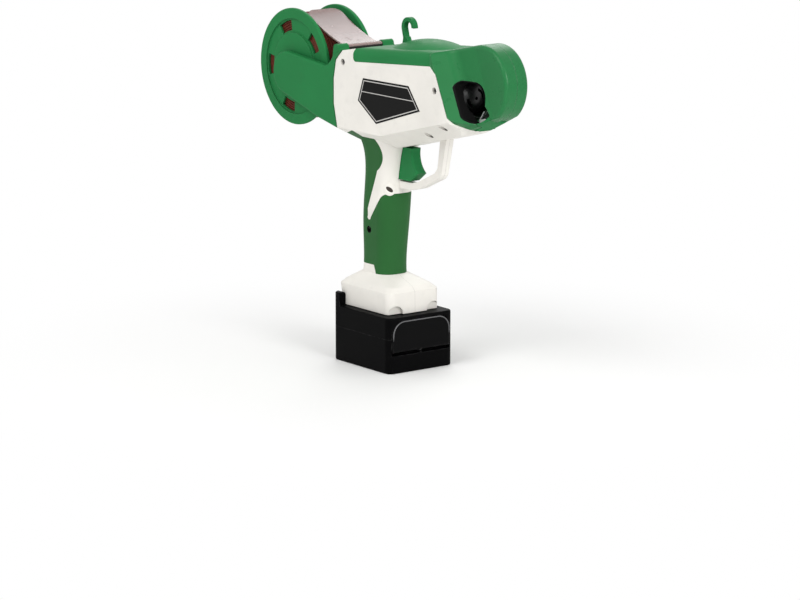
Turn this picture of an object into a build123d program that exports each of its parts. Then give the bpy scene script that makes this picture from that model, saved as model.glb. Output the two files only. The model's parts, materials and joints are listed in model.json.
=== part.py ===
"""Electric vine tying tool: pistol body on a slide battery, wire reel behind, tying nose in front.

Millimetres. +X points forward to the nose, +Y to the left side, +Z up.
The origin is the centre of the battery's bottom face, on which the tool stands.
"""
from build123d import *
import math
import os

os.makedirs("parts", exist_ok=True)

# Clearances
SLIDE_GAP = 0.4
RUN_GAP = 0.05
SEAT_GAP = 0.15
BOND_GAP = 0.1

# White clamshell body, seen from the side
BODY_HALF_WIDTH = 36.0
BODY_WALL = 3.0
BODY_EDGE_ROUND = 3.0
REAR_TOP = (-33.0, 297.5)
DECK_FRONT = (-14.0, 301.0)
COVER_REAR = (-14.0, 289.0)
COVER_FRONT = (104.0, 297.5)
NOSE_EDGE_TOP = (112.0, 291.0)
NOSE_EDGE_LOW = (134.0, 243.0)
BELLY_FRONT = (122.0, 234.0)
BELLY_REAR = (28.0, 211.0)
BELLY_BACK = (-30.0, 211.0)
REAR_LOW = (-41.0, 223.0)
REAR_MID = (-46.5, 246.0)
REAR_HIGH = (-46.5, 270.0)
REAR_SHOULDER = (-42.5, 288.5)
FLANK_RISE = 13.0
FLANK_RUN = 22.0

# Grip, sections from the battery shoe up into the body
GRIP_SLEEVE = 2.2
GRIP_BOTTOM_Z = 86.5
GRIP_BACK_Z = 94.5
GRIP_TOP_Z = 220.0
GRIP_DUCT_X = -3.0
GRIP_DUCT_LENGTH = 12.0
GRIP_DUCT_WIDTH = 18.0
GRIP_SECTIONS = (
    # height, centre X, length, width, corner radius
    (84.0, -12.5, 43.0, 34.0, 14.0),
    (127.0, -10.7, 45.0, 35.0, 15.0),
    (170.0, -7.0, 46.0, 36.0, 15.0),
    (200.0, -4.0, 50.0, 39.0, 16.0),
    (GRIP_TOP_Z, -3.0, 60.0, 52.0, 18.0),
)
SLEEVE_CREST = ((1.0, GRIP_TOP_Z), (9.6, 206.4), (-0.1, 186.2))
SLEEVE_BACK = (-15.2, 148.3)
SLEEVE_NOTCH = ((-15.1, 141.5), (-13.6, 137.6), (-10.9, 139.9))
SLEEVE_SHOULDER = ((2.5, 158.5), (6.5, 163.0), (13.0, 165.0))
SLEEVE_FRONT_Z = 166.0
SLEEVE_HEEL_X = (-4.5, -8.0)
TAIL_PLAN = ((-38.5, 0.0), (-38.5, -25.5), (-14.3, -37.0), (-14.3, 0.0))
TAIL_DEPTH = 1.4

# Battery shoe under the grip
SHOE_BOTTOM_Z = 54.0
SHOE_LENGTH = 79.0
SHOE_SECTIONS = (
    # height, centre X, length, width, corner radius
    (SHOE_BOTTOM_Z, -4.5, SHOE_LENGTH, 60.0, 8.0),
    (74.0, -6.5, 82.0, 60.5, 8.0),
    (78.5, -7.0, 73.5, 52.0, 9.0),
    (GRIP_BOTTOM_Z, -12.5, 43.0, 34.0, 14.0),
)
SHOE_POCKET_X = 31.5
SHOE_POCKET_Y = 22.0
SHOE_POCKET_R = 8.0
TERMINAL_LENGTH = 12.6

# Trigger guard and trigger
LOOP_HALF_WIDTH = 4.3
LOOP_OUTSIDE = ((89.0, 230.0), (80.0, 191.0), (76.0, 186.5), (48.0, 174.0), (36.0, 171.0), (0.0, 170.0))
LOOP_INSIDE = ((0.0, 177.0), (35.0, 177.5), (46.0, 180.5), (70.0, 191.5), (74.5, 197.0), (79.0, 227.0))
TRIGGER_HALF_WIDTH = 5.6
TRIGGER_TRAVEL = 6.0
TRIGGER_TOP_Z = 210.4
TRIGGER_LOW_Z = 179.2
TRIGGER_BACK_X = 8.0
TRIGGER_BROW_X = 37.5
TRIGGER_WAIST = (37.6, 200.0)
TRIGGER_TIP = (46.0, 188.0)
TRIGGER_TOE_X = 34.0
TRIGGER_ROUND = 2.0
TRIGGER_SPRING_Z = 184.0
TRIGGER_SPRING_R = 2.4
TRIGGER_SPRING_DEPTH = 10.0
SPRING_WIRE = 0.8
SPRING_LOOPS = 7
SPRING_PITCH = 2.0
SWITCH_LENGTH = 12.0
SWITCH_HALF_WIDTH = 5.0
SWITCH_HEIGHT = 18.0
SWITCH_Z = 197.0

# Top cover and hanging hook
COVER_HALF_WIDTH = 35.6
COVER_RISE = 13.0
COVER_WALL = 3.0
COVER_ROUND = 7.0
COVER_CORNER = 4.0
DOME_REAR_X = 12.0
DOME_FRONT_X = 98.0
DOME_PEAK_X = 55.0
DOME_RISE = 8.0
DOME_DEPTH = 38.0
COVER_TAIL = 8.0
HOOK_X = 23.5
HOOK_WIDTH = 5.0
HOOK_THICKNESS = 3.8
HOOK_LEAN = 4.4
HOOK_STEM_Z = 320.7
HOOK_TIP = (33.9, 322.5)
HOOK_FOOT = ((-6.0, 0.0), (5.5, 0.0), (1.0, 9.0), (-3.6, 9.0))

# Nose and mouth
NOSE_RADIUS = 36.0
NOSE_X = 150.0
NOSE_Z = 284.0
NOSE_HALF_WIDTH = 13.2
NOSE_ROUND = 3.5
NOSE_TIP_Z = 252.5
NOSE_FLARE = 12.0
NOSE_FLARE_WIDTH = 17.0
NOSE_FLARE_ROUND = 16.0
NOSE_TAPER = 40.0
CHIN_FRONT = (150.0, 241.5)
CHIN_LOW = (139.0, 239.5)
CHIN_RISE = 8.0
CHIN_KEEL = ((0.0, -2.3), (-7.0, 0.3), (-14.0, 2.8), (-20.0, 6.5), (-30.0, 11.5), (-37.0, 19.0))
TONGUE_REAR_X = 104.0
TONGUE_HALF_WIDTH = 19.0
TONGUE_LOW_Z = 249.0
TONGUE_TOP_Z = 294.0
MOUTH_RIM = 6.5
MOUTH_FRONT_X = 157.0
MOUTH_LOW_Z = 248.5
MOUTH_TOP_Z = 286.0
MOUTH_FRONT_ROUND = 14.0
MOUTH_TIP_ROUND = 6.0
MOUTH_LOW_ROUND = 12.0
MOUTH_REAR_ROUND = 5.0
LINER = 1.1
LINER_FRONT_X = 146.0

# Mouth gate
GATE_X = 138.5
GATE_Z = 245.0
GATE_REACH = 27.2
GATE_KNUCKLE_R = 4.8
GATE_PIN_R = 1.5
GATE_PIN_HALF_LENGTH = 15.0
GATE_ARM_HALF_WIDTH = 10.4
CHEEK_FRONT_X = 147.0
GATE_HEAD_GAP = 1.3
GATE_TOP = ((139.0, 249.8), (150.0, 249.0), (158.0, 253.0), (163.0, 257.0))
GUIDE_BEND = (146.5, 252.2)
GUIDE_LOW_END = (158.5, 254.6)
GUIDE_HIGH_END = (155.0, 261.0)
GUIDE_STRIP = 1.2
GUIDE_HALF_WIDTH = 9.0

# Twister drive
TWIST_Z = 268.0
TWISTER_R = 16.0
TWISTER_REAR_X = 114.0
TWISTER_RIM_X = 120.5
TWISTER_SHOULDER_X = 125.4
TWISTER_APEX_X = 127.0
TWISTER_EYE_R = 1.6
HEAD_GAP = 0.5
SHAFT_R = 4.0
SHAFT_REAR_X = 73.0
BEARING_R = 11.0
BEARING_WIDTH = 7.0
BEARING_REAR_X = 106.0
BUSH_R = 6.5
GEAR_MODULE = 1.0
TOOTH_RISE = 0.8
TOOTH_DEPTH = 1.1
TOOTH_ROOT_SHARE = 0.36
TOOTH_TIP_SHARE = 0.13
TWIST_GEAR_TEETH = 20
PINION_TEETH = 12
GEAR_REAR_X = 79.0
GEAR_WIDTH = 8.0
PINION_SHAFT_R = 2.5
MOTOR_R = 17.5
MOTOR_REAR_X = 0.0
MOTOR_LENGTH = 48.0
GEARBOX_R = 16.5
GEARBOX_LENGTH = 24.0
RIB_THICKNESS = 4.0
MOTOR_RIB_X = (6.0, 38.0)
BEARING_GROOVE = 0.8
MOTOR_ROUND = 2.0
SHAFT_SOCKET = 4.0
SLOT_INNER_R = 7.0
SLOT_WIDTH = 2.6
SLOT_DEPTH = 3.0
SLOT_SWEEP = 70.0

# Wire feed
FEED_X = -12.0
FEED_Z = 270.0
FEED_TEETH = 12
FEED_ROLLER_R = 5.6
FEED_ROLLER_HALF = 5.0
FEED_GEAR_WIDTH = 5.0
FEED_SHAFT_R = 2.5
FEED_PLATE = 3.0
FEED_PLATE_HALF_LENGTH = 8.0
FEED_PLATE_LOW_Z = 255.0
FEED_PLATE_TOP_Z = 284.0
FEED_BOSS_Z = 280.0
FEED_MOTOR_R = 11.0
FEED_MOTOR_LENGTH = 14.0
TUBE_R = 1.8
TUBE_BORE_R = 1.1
TUBE_REAR_X = -4.0
TUBE_FRONT_X = 130.0
TUBE_FRONT_Z = 291.5
INLET_R = 5.0
INLET_BORE_R = 2.5
INLET_LENGTH = 9.0
INLET_RIM = 2.0
CURL_X = 141.0
CURL_Z = 267.0
CURL_R = 23.5
CURL_STRIP = 3.4
CURL_HALF_WIDTH = 3.0
CURL_START = -8.0
CURL_SWEEP = 108.0

# Wire reel
REEL_X = -121.5
REEL_Z = 272.0
FLANGE_R = 56.0
REEL_HALF_WIDTH = 27.5
FLANGE_THICKNESS = 4.0
FLANGE_GROOVE = 1.6
FLANGE_DISC_R = 32.5
FLANGE_RING_R = 46.0
FLANGE_ROUND = 1.2
WINDOW_INNER_R = 34.5
WINDOW_OUTER_R = 44.5
WINDOW_ANGLE = 27.0
WINDOW_COUNT = 5
WINDOW_START = 39.0
HUB_R = 17.0
AXLE_R = 4.0
AXLE_HALF_LENGTH = 33.0
WIRE_DIAMETER = 1.7
WIRE_PITCH = 2.25
WIRE_LOOPS = 19
WIRE_OUTER_R = 48.0

# Reel arms and guard
ARM_GAP = 2.0
ARM_THICKNESS = 6.3
ARM_END = (-124.5, 266.5)
ARM_END_R = 20.3
ARM_DIP = (-58.2, 280.1)
ARM_THROAT = (-51.5, 284.4)
ARM_NECK = (-46.5, 290.5)
ARM_BELLY = (-74.0, 230.0)
ARM_ROUND = 2.0
LUG_X = -45.5
LUG_Z = 298.0
LUG_R = 4.0
LUG_LENGTH = 9.5
GUARD_PIN_R = 1.5
GUARD_PIN_HALF_LENGTH = 30.0
GUARD_SHEET = 1.4
GUARD_TAIL = (-113.0, 325.5)
GUARD_TAIL_ROUND = 9.0
GUARD_SAG = 3.5
GUARD_KNUCKLE_R = 3.2

# Battery
PACK_HALF_LENGTH = 45.0
PACK_HALF_WIDTH = 38.0
PACK_CORNER = 7.0
PACK_SPLIT_Z = 33.0
PACK_TOP_Z = 53.4
PACK_WALL = 2.5
PACK_EDGE_ROUND = 1.6
RAIL_HALF_WIDTH = 17.0
RAIL_NECK_HALF_WIDTH = 13.0
RAIL_LIP_Z = 57.5
RAIL_TOP_Z = 61.5
RAIL_REAR_X = -36.0
RAIL_FRONT_X = 18.0
POST_LENGTH = 11.0
POST_TOP_Z = 66.0
CELL_COUNT = 4
CELL_SPACE = 0.5
CELL_END_ROOM = 3.0
LEVER_HALF_WIDTH = 34.0
LEVER_LOW_Z = 20.0
LEVER_TOP_Z = 50.5
LEVER_SHOULDER = 14.0
LEVER_DEPTH = 7.0
LEVER_TRAVEL = 2.5
LEVER_SPRING_DEPTH = 8.0
LEVER_SPRING_R = 1.8
LEVER_SPRING_LOOPS = 5
POST_WIDTH = 7.0
BLADE_THICKNESS = 1.0
BLADE_SPREAD = 8.0
BLADE_LENGTH = 16.0
BLADE_LOW_Z = 57.0

# Control board
BOARD_Y = 23.0
BOARD_THICKNESS = 1.6
BOARD_REAR_X = -27.0
BOARD_FRONT_X = -3.0
BOARD_LOW_Z = 229.0
BOARD_TOP_Z = 261.0
BOARD_POST_R = 2.0
BOARD_POST_INSET = 3.5
CHIP_LENGTH = 9.0
CHIP_HEIGHT = 2.0
CAPACITOR_R = 4.0
CAPACITOR_LENGTH = 9.0

# Screws
SCREW_R = 1.6
SCREW_HEAD_R = 3.0
SCREW_HEAD_HEIGHT = 2.4
SCREW_SINK = 2.0
BOSS_R = 4.2
BODY_SCREWS = ((-30.0, 287.0),)
FLANK_SCREWS = ((115.4, 242.3, 27.2), (86.5, 231.6, 21.0))
GRIP_SCREWS = ((-14.0, 128.0),)
NOSE_SCREWS = ((110.5, 276.0),)
NOSE_SCREW_DEPTH = 8.0
SCREW_END_Y = 12.0
GRIP_HALF_WIDTH = 17.5

# Sizes that follow from the ones above
BODY_PROFILE = (
    REAR_TOP, DECK_FRONT, COVER_REAR, COVER_FRONT, NOSE_EDGE_TOP, NOSE_EDGE_LOW,
    BELLY_FRONT, BELLY_REAR, BELLY_BACK, REAR_LOW, REAR_MID, REAR_HIGH, REAR_SHOULDER,
)
BELLY_SLOPE = (BELLY_FRONT[1] - BELLY_REAR[1]) / (BELLY_FRONT[0] - BELLY_REAR[0])
NOSE_SLANT = (NOSE_EDGE_TOP[0] - NOSE_EDGE_LOW[0]) / (NOSE_EDGE_TOP[1] - NOSE_EDGE_LOW[1])
GATE_FRONT = (NOSE_X + NOSE_RADIUS, NOSE_TIP_Z + CHIN_RISE)
COVER_SLOPE = (COVER_FRONT[1] - COVER_REAR[1]) / (COVER_FRONT[0] - COVER_REAR[0])
TRIGGER_STOP_X = TRIGGER_BACK_X - TRIGGER_TRAVEL - SLIDE_GAP
LEVER_FLOOR_Z = LEVER_LOW_Z - LEVER_TRAVEL - SLIDE_GAP
SWITCH_HALF_ROOM = SWITCH_HEIGHT / 2 + SEAT_GAP
MOTOR_Z = TWIST_Z - GEAR_MODULE * (TWIST_GEAR_TEETH + PINION_TEETH) / 2
FEED_CENTRES = GEAR_MODULE * FEED_TEETH
TUBE_SLOPE = (TUBE_FRONT_Z - FEED_Z) / (TUBE_FRONT_X - FEED_X)
FEED_PLATE_INNER = FEED_ROLLER_HALF + FEED_GEAR_WIDTH + 2 * SLIDE_GAP
FEED_PLATE_OUTER = FEED_PLATE_INNER + FEED_PLATE
ARM_INNER = REEL_HALF_WIDTH + ARM_GAP
ARM_SLOPE = math.atan2(ARM_END[1] + ARM_END_R - ARM_DIP[1], ARM_DIP[0] - ARM_END[0])
ARM_TILT = -math.atan2(ARM_END[1] - ARM_END_R - ARM_BELLY[1], ARM_BELLY[0] - ARM_END[0])
LUG_FOOT = ((REAR_SHOULDER[0] + REAR_TOP[0]) / 2, (REAR_SHOULDER[1] + REAR_TOP[1]) / 2)
GUARD_HALF_WIDTH = ARM_INNER - LUG_LENGTH - SLIDE_GAP
CELL_ROW_X = -(LEVER_DEPTH + SLIDE_GAP) / 2
CELL_ROOM_LENGTH = 2 * (PACK_HALF_LENGTH + CELL_ROW_X - PACK_WALL)
CELL_R = CELL_ROOM_LENGTH / (2 * CELL_COUNT) - CELL_SPACE
CELL_LENGTH = 2 * (PACK_HALF_WIDTH - PACK_WALL - CELL_END_ROOM)
DRUM_HALF_WIDTH = REEL_HALF_WIDTH - FLANGE_THICKNESS
WIRE_CORE_R = WIRE_OUTER_R - WIRE_DIAMETER
BOARD_POSTS = tuple(
    (x, z)
    for x in (BOARD_REAR_X + BOARD_POST_INSET, BOARD_FRONT_X - BOARD_POST_INSET)
    for z in (BOARD_LOW_Z + BOARD_POST_INSET, BOARD_TOP_Z - BOARD_POST_INSET)
)
ALL_SCREWS = (
    *((x, z, BODY_HALF_WIDTH) for x, z in BODY_SCREWS),
    *((x, z, GRIP_HALF_WIDTH) for x, z in GRIP_SCREWS),
    *FLANK_SCREWS,
)
REEL_PLANE = Plane((REEL_X, 0, REEL_Z), x_dir=(1, 0, 0), z_dir=(0, -1, 0))
TWIST_PLANE = Plane((0, 0, TWIST_Z), x_dir=(0, 1, 0), z_dir=(1, 0, 0))
MOTOR_PLANE = Plane((0, 0, MOTOR_Z), x_dir=(0, 1, 0), z_dir=(1, 0, 0))
TRIGGER_SPRING_PLANE = Plane((0, 0, TRIGGER_SPRING_Z), x_dir=(0, 1, 0), z_dir=(1, 0, 0))
LEVER_SPRING_PLANE = Plane((PACK_HALF_LENGTH - LEVER_DEPTH / 2, 0, 0))
FEED_PLANE = Plane((FEED_X, 0, FEED_Z), x_dir=(1, 0, 0), z_dir=(0, -1, 0))
TUBE_PLANE = Plane((FEED_X, 0, FEED_Z), x_dir=(0, 1, 0), z_dir=(1, 0, TUBE_SLOPE))
LUG_PLANE = Plane((LUG_X, 0, LUG_Z), x_dir=(1, 0, 0), z_dir=(0, -1, 0))
CURL_PLANE = Plane((CURL_X, 0, CURL_Z), x_dir=(1, 0, 0), z_dir=(0, -1, 0))
GATE_PLANE = Plane((GATE_X, 0, GATE_Z), x_dir=(1, 0, 0), z_dir=(0, -1, 0))


def save(piece, name):
    """Name a finished piece and write its file."""
    piece.part.label = name
    export_step(piece.part, f"parts/{name}.step")


def corner_at(side, point):
    """Corner of a side view that lies nearest to a point given as X and Z."""
    return side.vertices().sort_by_distance(Vector(*point))[0]


def body_half(inset):
    """Right half of the body block with every outer face moved in by inset."""
    lift = inset * math.hypot(FLANK_RISE, FLANK_RUN) / FLANK_RUN
    low = BELLY_REAR[1] + lift
    deep = 2 * BODY_HALF_WIDTH
    with BuildPart() as half:
        with BuildSketch(Plane.XZ) as side:
            Polygon(*BODY_PROFILE, align=None)
            fillet(corner_at(side, COVER_REAR), COVER_CORNER)
            if inset > 0:
                offset(amount=-inset, kind=Kind.INTERSECTION)
        extrude(amount=BODY_HALF_WIDTH - inset)
        for start_x, slope in ((REAR_HIGH[0] - deep, 0.0), (BELLY_REAR[0], BELLY_SLOPE)):
            with BuildSketch(Plane.YZ.offset(start_x)):
                edge_y = -BODY_HALF_WIDTH + FLANK_RUN
                far_y = -2 * BODY_HALF_WIDTH
                far_z = low + (edge_y - far_y) * FLANK_RISE / FLANK_RUN
                Polygon(
                    (edge_y, low), (far_y, far_z), (far_y, low - deep), (edge_y, low - deep), align=None,
                )
            run = BELLY_REAR[0] - start_x if slope == 0.0 else 2 * deep
            extrude(amount=run * math.hypot(1, slope), dir=(1, 0, slope), mode=Mode.SUBTRACT)
    return half.part


def outer_half():
    """Right half of the body's outside, with its rear edges rounded."""
    with BuildPart() as half:
        add(body_half(0))
        rear = half.edges().filter_by(lambda edge: edge.center().X < BELLY_BACK[0])
        outer = rear.filter_by(lambda edge: edge.center().Y < -BODY_HALF_WIDTH + 0.01)
        fillet(outer, BODY_EDGE_ROUND)
    return half.part


def tail_skin(depth):
    """Outer layer of the body's rear underside, right half, where the sleeve's tail lies."""
    with BuildPart() as skin:
        with BuildSketch(Plane.XY.offset(BELLY_REAR[1])):
            Polygon(*TAIL_PLAN, align=None)
        extrude(amount=FLANK_RISE)
        add(outer_half(), mode=Mode.INTERSECT)
        add(body_half(depth), mode=Mode.SUBTRACT)
    return skin.part


def grip_solid(inset):
    """Grip from the shoe into the body, every side moved in by inset."""
    with BuildPart() as grip:
        for height, centre, length, width, radius in GRIP_SECTIONS:
            with BuildSketch(Plane.XY.offset(height)):
                with Locations((centre, 0)):
                    RectangleRounded(length - 2 * inset, width - 2 * inset, radius - inset)
        loft()
    return grip.part


def sleeve_zone():
    """Side view of the green sleeve: the back of the grip and all of its lower part."""
    reach = 2 * BODY_HALF_WIDTH
    with BuildPart() as zone:
        with BuildSketch(Plane.XZ):
            with BuildLine():
                ThreePointArc(*SLEEVE_CREST)
                Polyline(SLEEVE_CREST[-1], SLEEVE_BACK, SLEEVE_NOTCH[0])
                ThreePointArc(*SLEEVE_NOTCH)
                Line(SLEEVE_NOTCH[-1], SLEEVE_SHOULDER[0])
                ThreePointArc(*SLEEVE_SHOULDER)
                Polyline(
                    SLEEVE_SHOULDER[-1], (reach, SLEEVE_FRONT_Z), (reach, GRIP_BOTTOM_Z),
                    (SLEEVE_HEEL_X[0], GRIP_BOTTOM_Z), (SLEEVE_HEEL_X[1], GRIP_BACK_Z),
                    (-reach, GRIP_BACK_Z), (-reach, GRIP_TOP_Z), SLEEVE_CREST[0],
                )
            make_face()
        extrude(amount=reach, both=True)
    return zone.part


def gear_outline(teeth, turn):
    """Straight-sided spur gear face, with one tooth centred at the turn angle in degrees."""
    pitch_r = GEAR_MODULE * teeth / 2
    tip_r = pitch_r + TOOTH_RISE * GEAR_MODULE
    root_r = pitch_r - TOOTH_DEPTH * GEAR_MODULE
    step = 360 / teeth
    shape = (
        (root_r, -TOOTH_ROOT_SHARE), (tip_r, -TOOTH_TIP_SHARE),
        (tip_r, TOOTH_TIP_SHARE), (root_r, TOOTH_ROOT_SHARE),
    )
    points = []
    for tooth in range(teeth):
        for radius, share in shape:
            angle = math.radians(turn + (tooth + share) * step)
            points.append((radius * math.cos(angle), radius * math.sin(angle)))
    with BuildSketch() as face:
        Polygon(*points, align=None)
    return face.sketch


def coil_line(radius, pitch, loops, lead, plane):
    """Coil of tangent half turns about the plane's normal, straight for lead at both ends."""
    start = -pitch * loops / 2
    with BuildLine() as line:
        Line((radius, -lead, start), (radius, 0, start))
        for half in range(2 * loops):
            side = 1 if half % 2 == 0 else -1
            here = (side * radius, 0, start + half * pitch / 2)
            there = (-side * radius, 0, start + (half + 1) * pitch / 2)
            TangentArc(here, there, tangent=(0, side, 0))
        Line((radius, 0, -start), (radius, lead, -start))
    return line.line.moved(plane.location)


def least_gap(line, diameter, loops):
    """Smallest distance between neighbouring turns of a coil, measured on points along it."""
    per_turn = 24
    count = loops * per_turn
    points = [line @ (index / count) for index in range(count + 1)]
    gaps = [
        (points[later] - points[index]).length - diameter
        for index in range(count)
        for later in range(index + per_turn // 2, min(index + 2 * per_turn, count))
    ]
    return min(gaps)


def screw(x, z, face, tip):
    """Cap screw along Y from the right, its head sunk below the face and its end at the tip."""
    head = face - SCREW_SINK - SCREW_HEAD_HEIGHT
    with BuildPart() as fixing:
        with BuildSketch(Plane.XZ.offset(tip)):
            with Locations((x, z)):
                Circle(SCREW_R)
        extrude(amount=head - tip)
        with BuildSketch(Plane.XZ.offset(head)):
            with Locations((x, z)):
                Circle(SCREW_HEAD_R)
        extrude(amount=SCREW_HEAD_HEIGHT)
        with BuildSketch(Plane.XZ.offset(head + SCREW_HEAD_HEIGHT)):
            with Locations((x, z)):
                RegularPolygon(SCREW_R, 6)
        extrude(amount=-SCREW_HEAD_HEIGHT / 2, mode=Mode.SUBTRACT)
    return fixing.part


def screw_hole(x, z, face, end):
    """Clearance hole from the end out to the face, with the recess for the screw's head."""
    with BuildPart() as hole:
        with BuildSketch(Plane.XZ.offset(end)):
            with Locations((x, z)):
                Circle(SCREW_R + RUN_GAP)
        extrude(amount=face - end)
        with BuildSketch(Plane.XZ.offset(face - SCREW_SINK - SCREW_HEAD_HEIGHT)):
            with Locations((x, z)):
                Circle(SCREW_HEAD_R + SEAT_GAP)
        extrude(amount=BODY_HALF_WIDTH)
    return hole.part


def ring_sector(inner, outer, start, sweep):
    """Part of a ring about the origin, from the start angle over the sweep in degrees."""
    with BuildSketch() as sector:
        with BuildLine():
            low = CenterArc((0, 0), inner, start, sweep)
            high = CenterArc((0, 0), outer, start, sweep)
            Line(low @ 0, high @ 0)
            Line(low @ 1, high @ 1)
        make_face()
    return sector.sketch


def lever_arch(room, rear_x, depth):
    """Arch of the release lever grown by room on its sides and top, from rear_x forward by depth."""
    with BuildPart() as arch:
        with BuildSketch(Plane.YZ.offset(rear_x)) as outline:
            with Locations((0, LEVER_LOW_Z)):
                Rectangle(2 * (LEVER_HALF_WIDTH + room), LEVER_TOP_Z - LEVER_LOW_Z + room,
                          align=(Align.CENTER, Align.MIN))
            fillet(outline.vertices().group_by(Axis.Y)[-1], LEVER_SHOULDER + room)
        extrude(amount=depth)
    return arch.part


def lever_recess():
    """Space in the battery's front for the release lever and its travel."""
    rear_x = PACK_HALF_LENGTH - LEVER_DEPTH - SLIDE_GAP
    with BuildPart() as recess:
        add(lever_arch(SLIDE_GAP, rear_x, PACK_HALF_LENGTH))
        with Locations((rear_x, 0, LEVER_LOW_Z)):
            Box(PACK_HALF_LENGTH, 2 * (LEVER_HALF_WIDTH + SLIDE_GAP), LEVER_TRAVEL + SLIDE_GAP,
                align=(Align.MIN, Align.CENTER, Align.MAX))
    return recess.part


# White clamshell, right half: body side, grip core, guard loop and shoe with its rail channel
def grip_core():
    """White part of the grip: the core, filled out to the full size where no sleeve covers it."""
    with BuildPart() as core:
        add(grip_solid(0))
        add(sleeve_zone(), mode=Mode.SUBTRACT)
        add(grip_solid(GRIP_SLEEVE))
    return core.part


def shell_ribs():
    """Cross ribs inside the right half that carry the motor, gearbox and shaft bush."""
    depth = 2 * BODY_HALF_WIDTH
    with BuildPart() as ribs:
        for rib_x in (*MOTOR_RIB_X, SHAFT_REAR_X):
            with Locations((rib_x, 0, MOTOR_Z)):
                Box(RIB_THICKNESS, depth, 4 * MOTOR_R, align=(Align.MIN, Align.CENTER, Align.CENTER))
        add(body_half(BODY_WALL), mode=Mode.INTERSECT)
        with BuildSketch(MOTOR_PLANE):
            Circle(MOTOR_R + SEAT_GAP)
        extrude(amount=MOTOR_REAR_X + MOTOR_LENGTH, mode=Mode.SUBTRACT)
        with BuildSketch(MOTOR_PLANE):
            Circle(GEARBOX_R + SEAT_GAP)
        extrude(amount=SHAFT_REAR_X, mode=Mode.SUBTRACT)
        with BuildSketch(MOTOR_PLANE):
            Circle(PINION_SHAFT_R + SLIDE_GAP)
        extrude(amount=GEAR_REAR_X, mode=Mode.SUBTRACT)
        with BuildSketch(TWIST_PLANE.offset(SHAFT_REAR_X - RIB_THICKNESS)):
            Circle(BUSH_R)
        extrude(amount=3 * RIB_THICKNESS, mode=Mode.SUBTRACT)
        with BuildSketch(TUBE_PLANE):
            Circle(TUBE_R + SEAT_GAP)
        extrude(amount=TUBE_FRONT_X - FEED_X, mode=Mode.SUBTRACT)
    return ribs.part


def screw_bosses():
    """Round bosses for the screws that close the body, cut to the body's outside."""
    with BuildPart() as bosses:
        with BuildSketch(Plane.XZ):
            with Locations(*(place[:2] for place in BODY_SCREWS + FLANK_SCREWS)):
                Circle(BOSS_R)
        extrude(amount=BODY_HALF_WIDTH)
        add(body_half(0), mode=Mode.INTERSECT)
    return bosses.part


def shoe_solid():
    """Block under the grip that the battery slides onto, sloped up to the grip."""
    with BuildPart() as shoe:
        for height, centre, length, width, radius in SHOE_SECTIONS:
            with BuildSketch(Plane.XY.offset(height)):
                with Locations((centre, 0)):
                    RectangleRounded(length, width, radius)
        loft(ruled=True)
    return shoe.part


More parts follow.
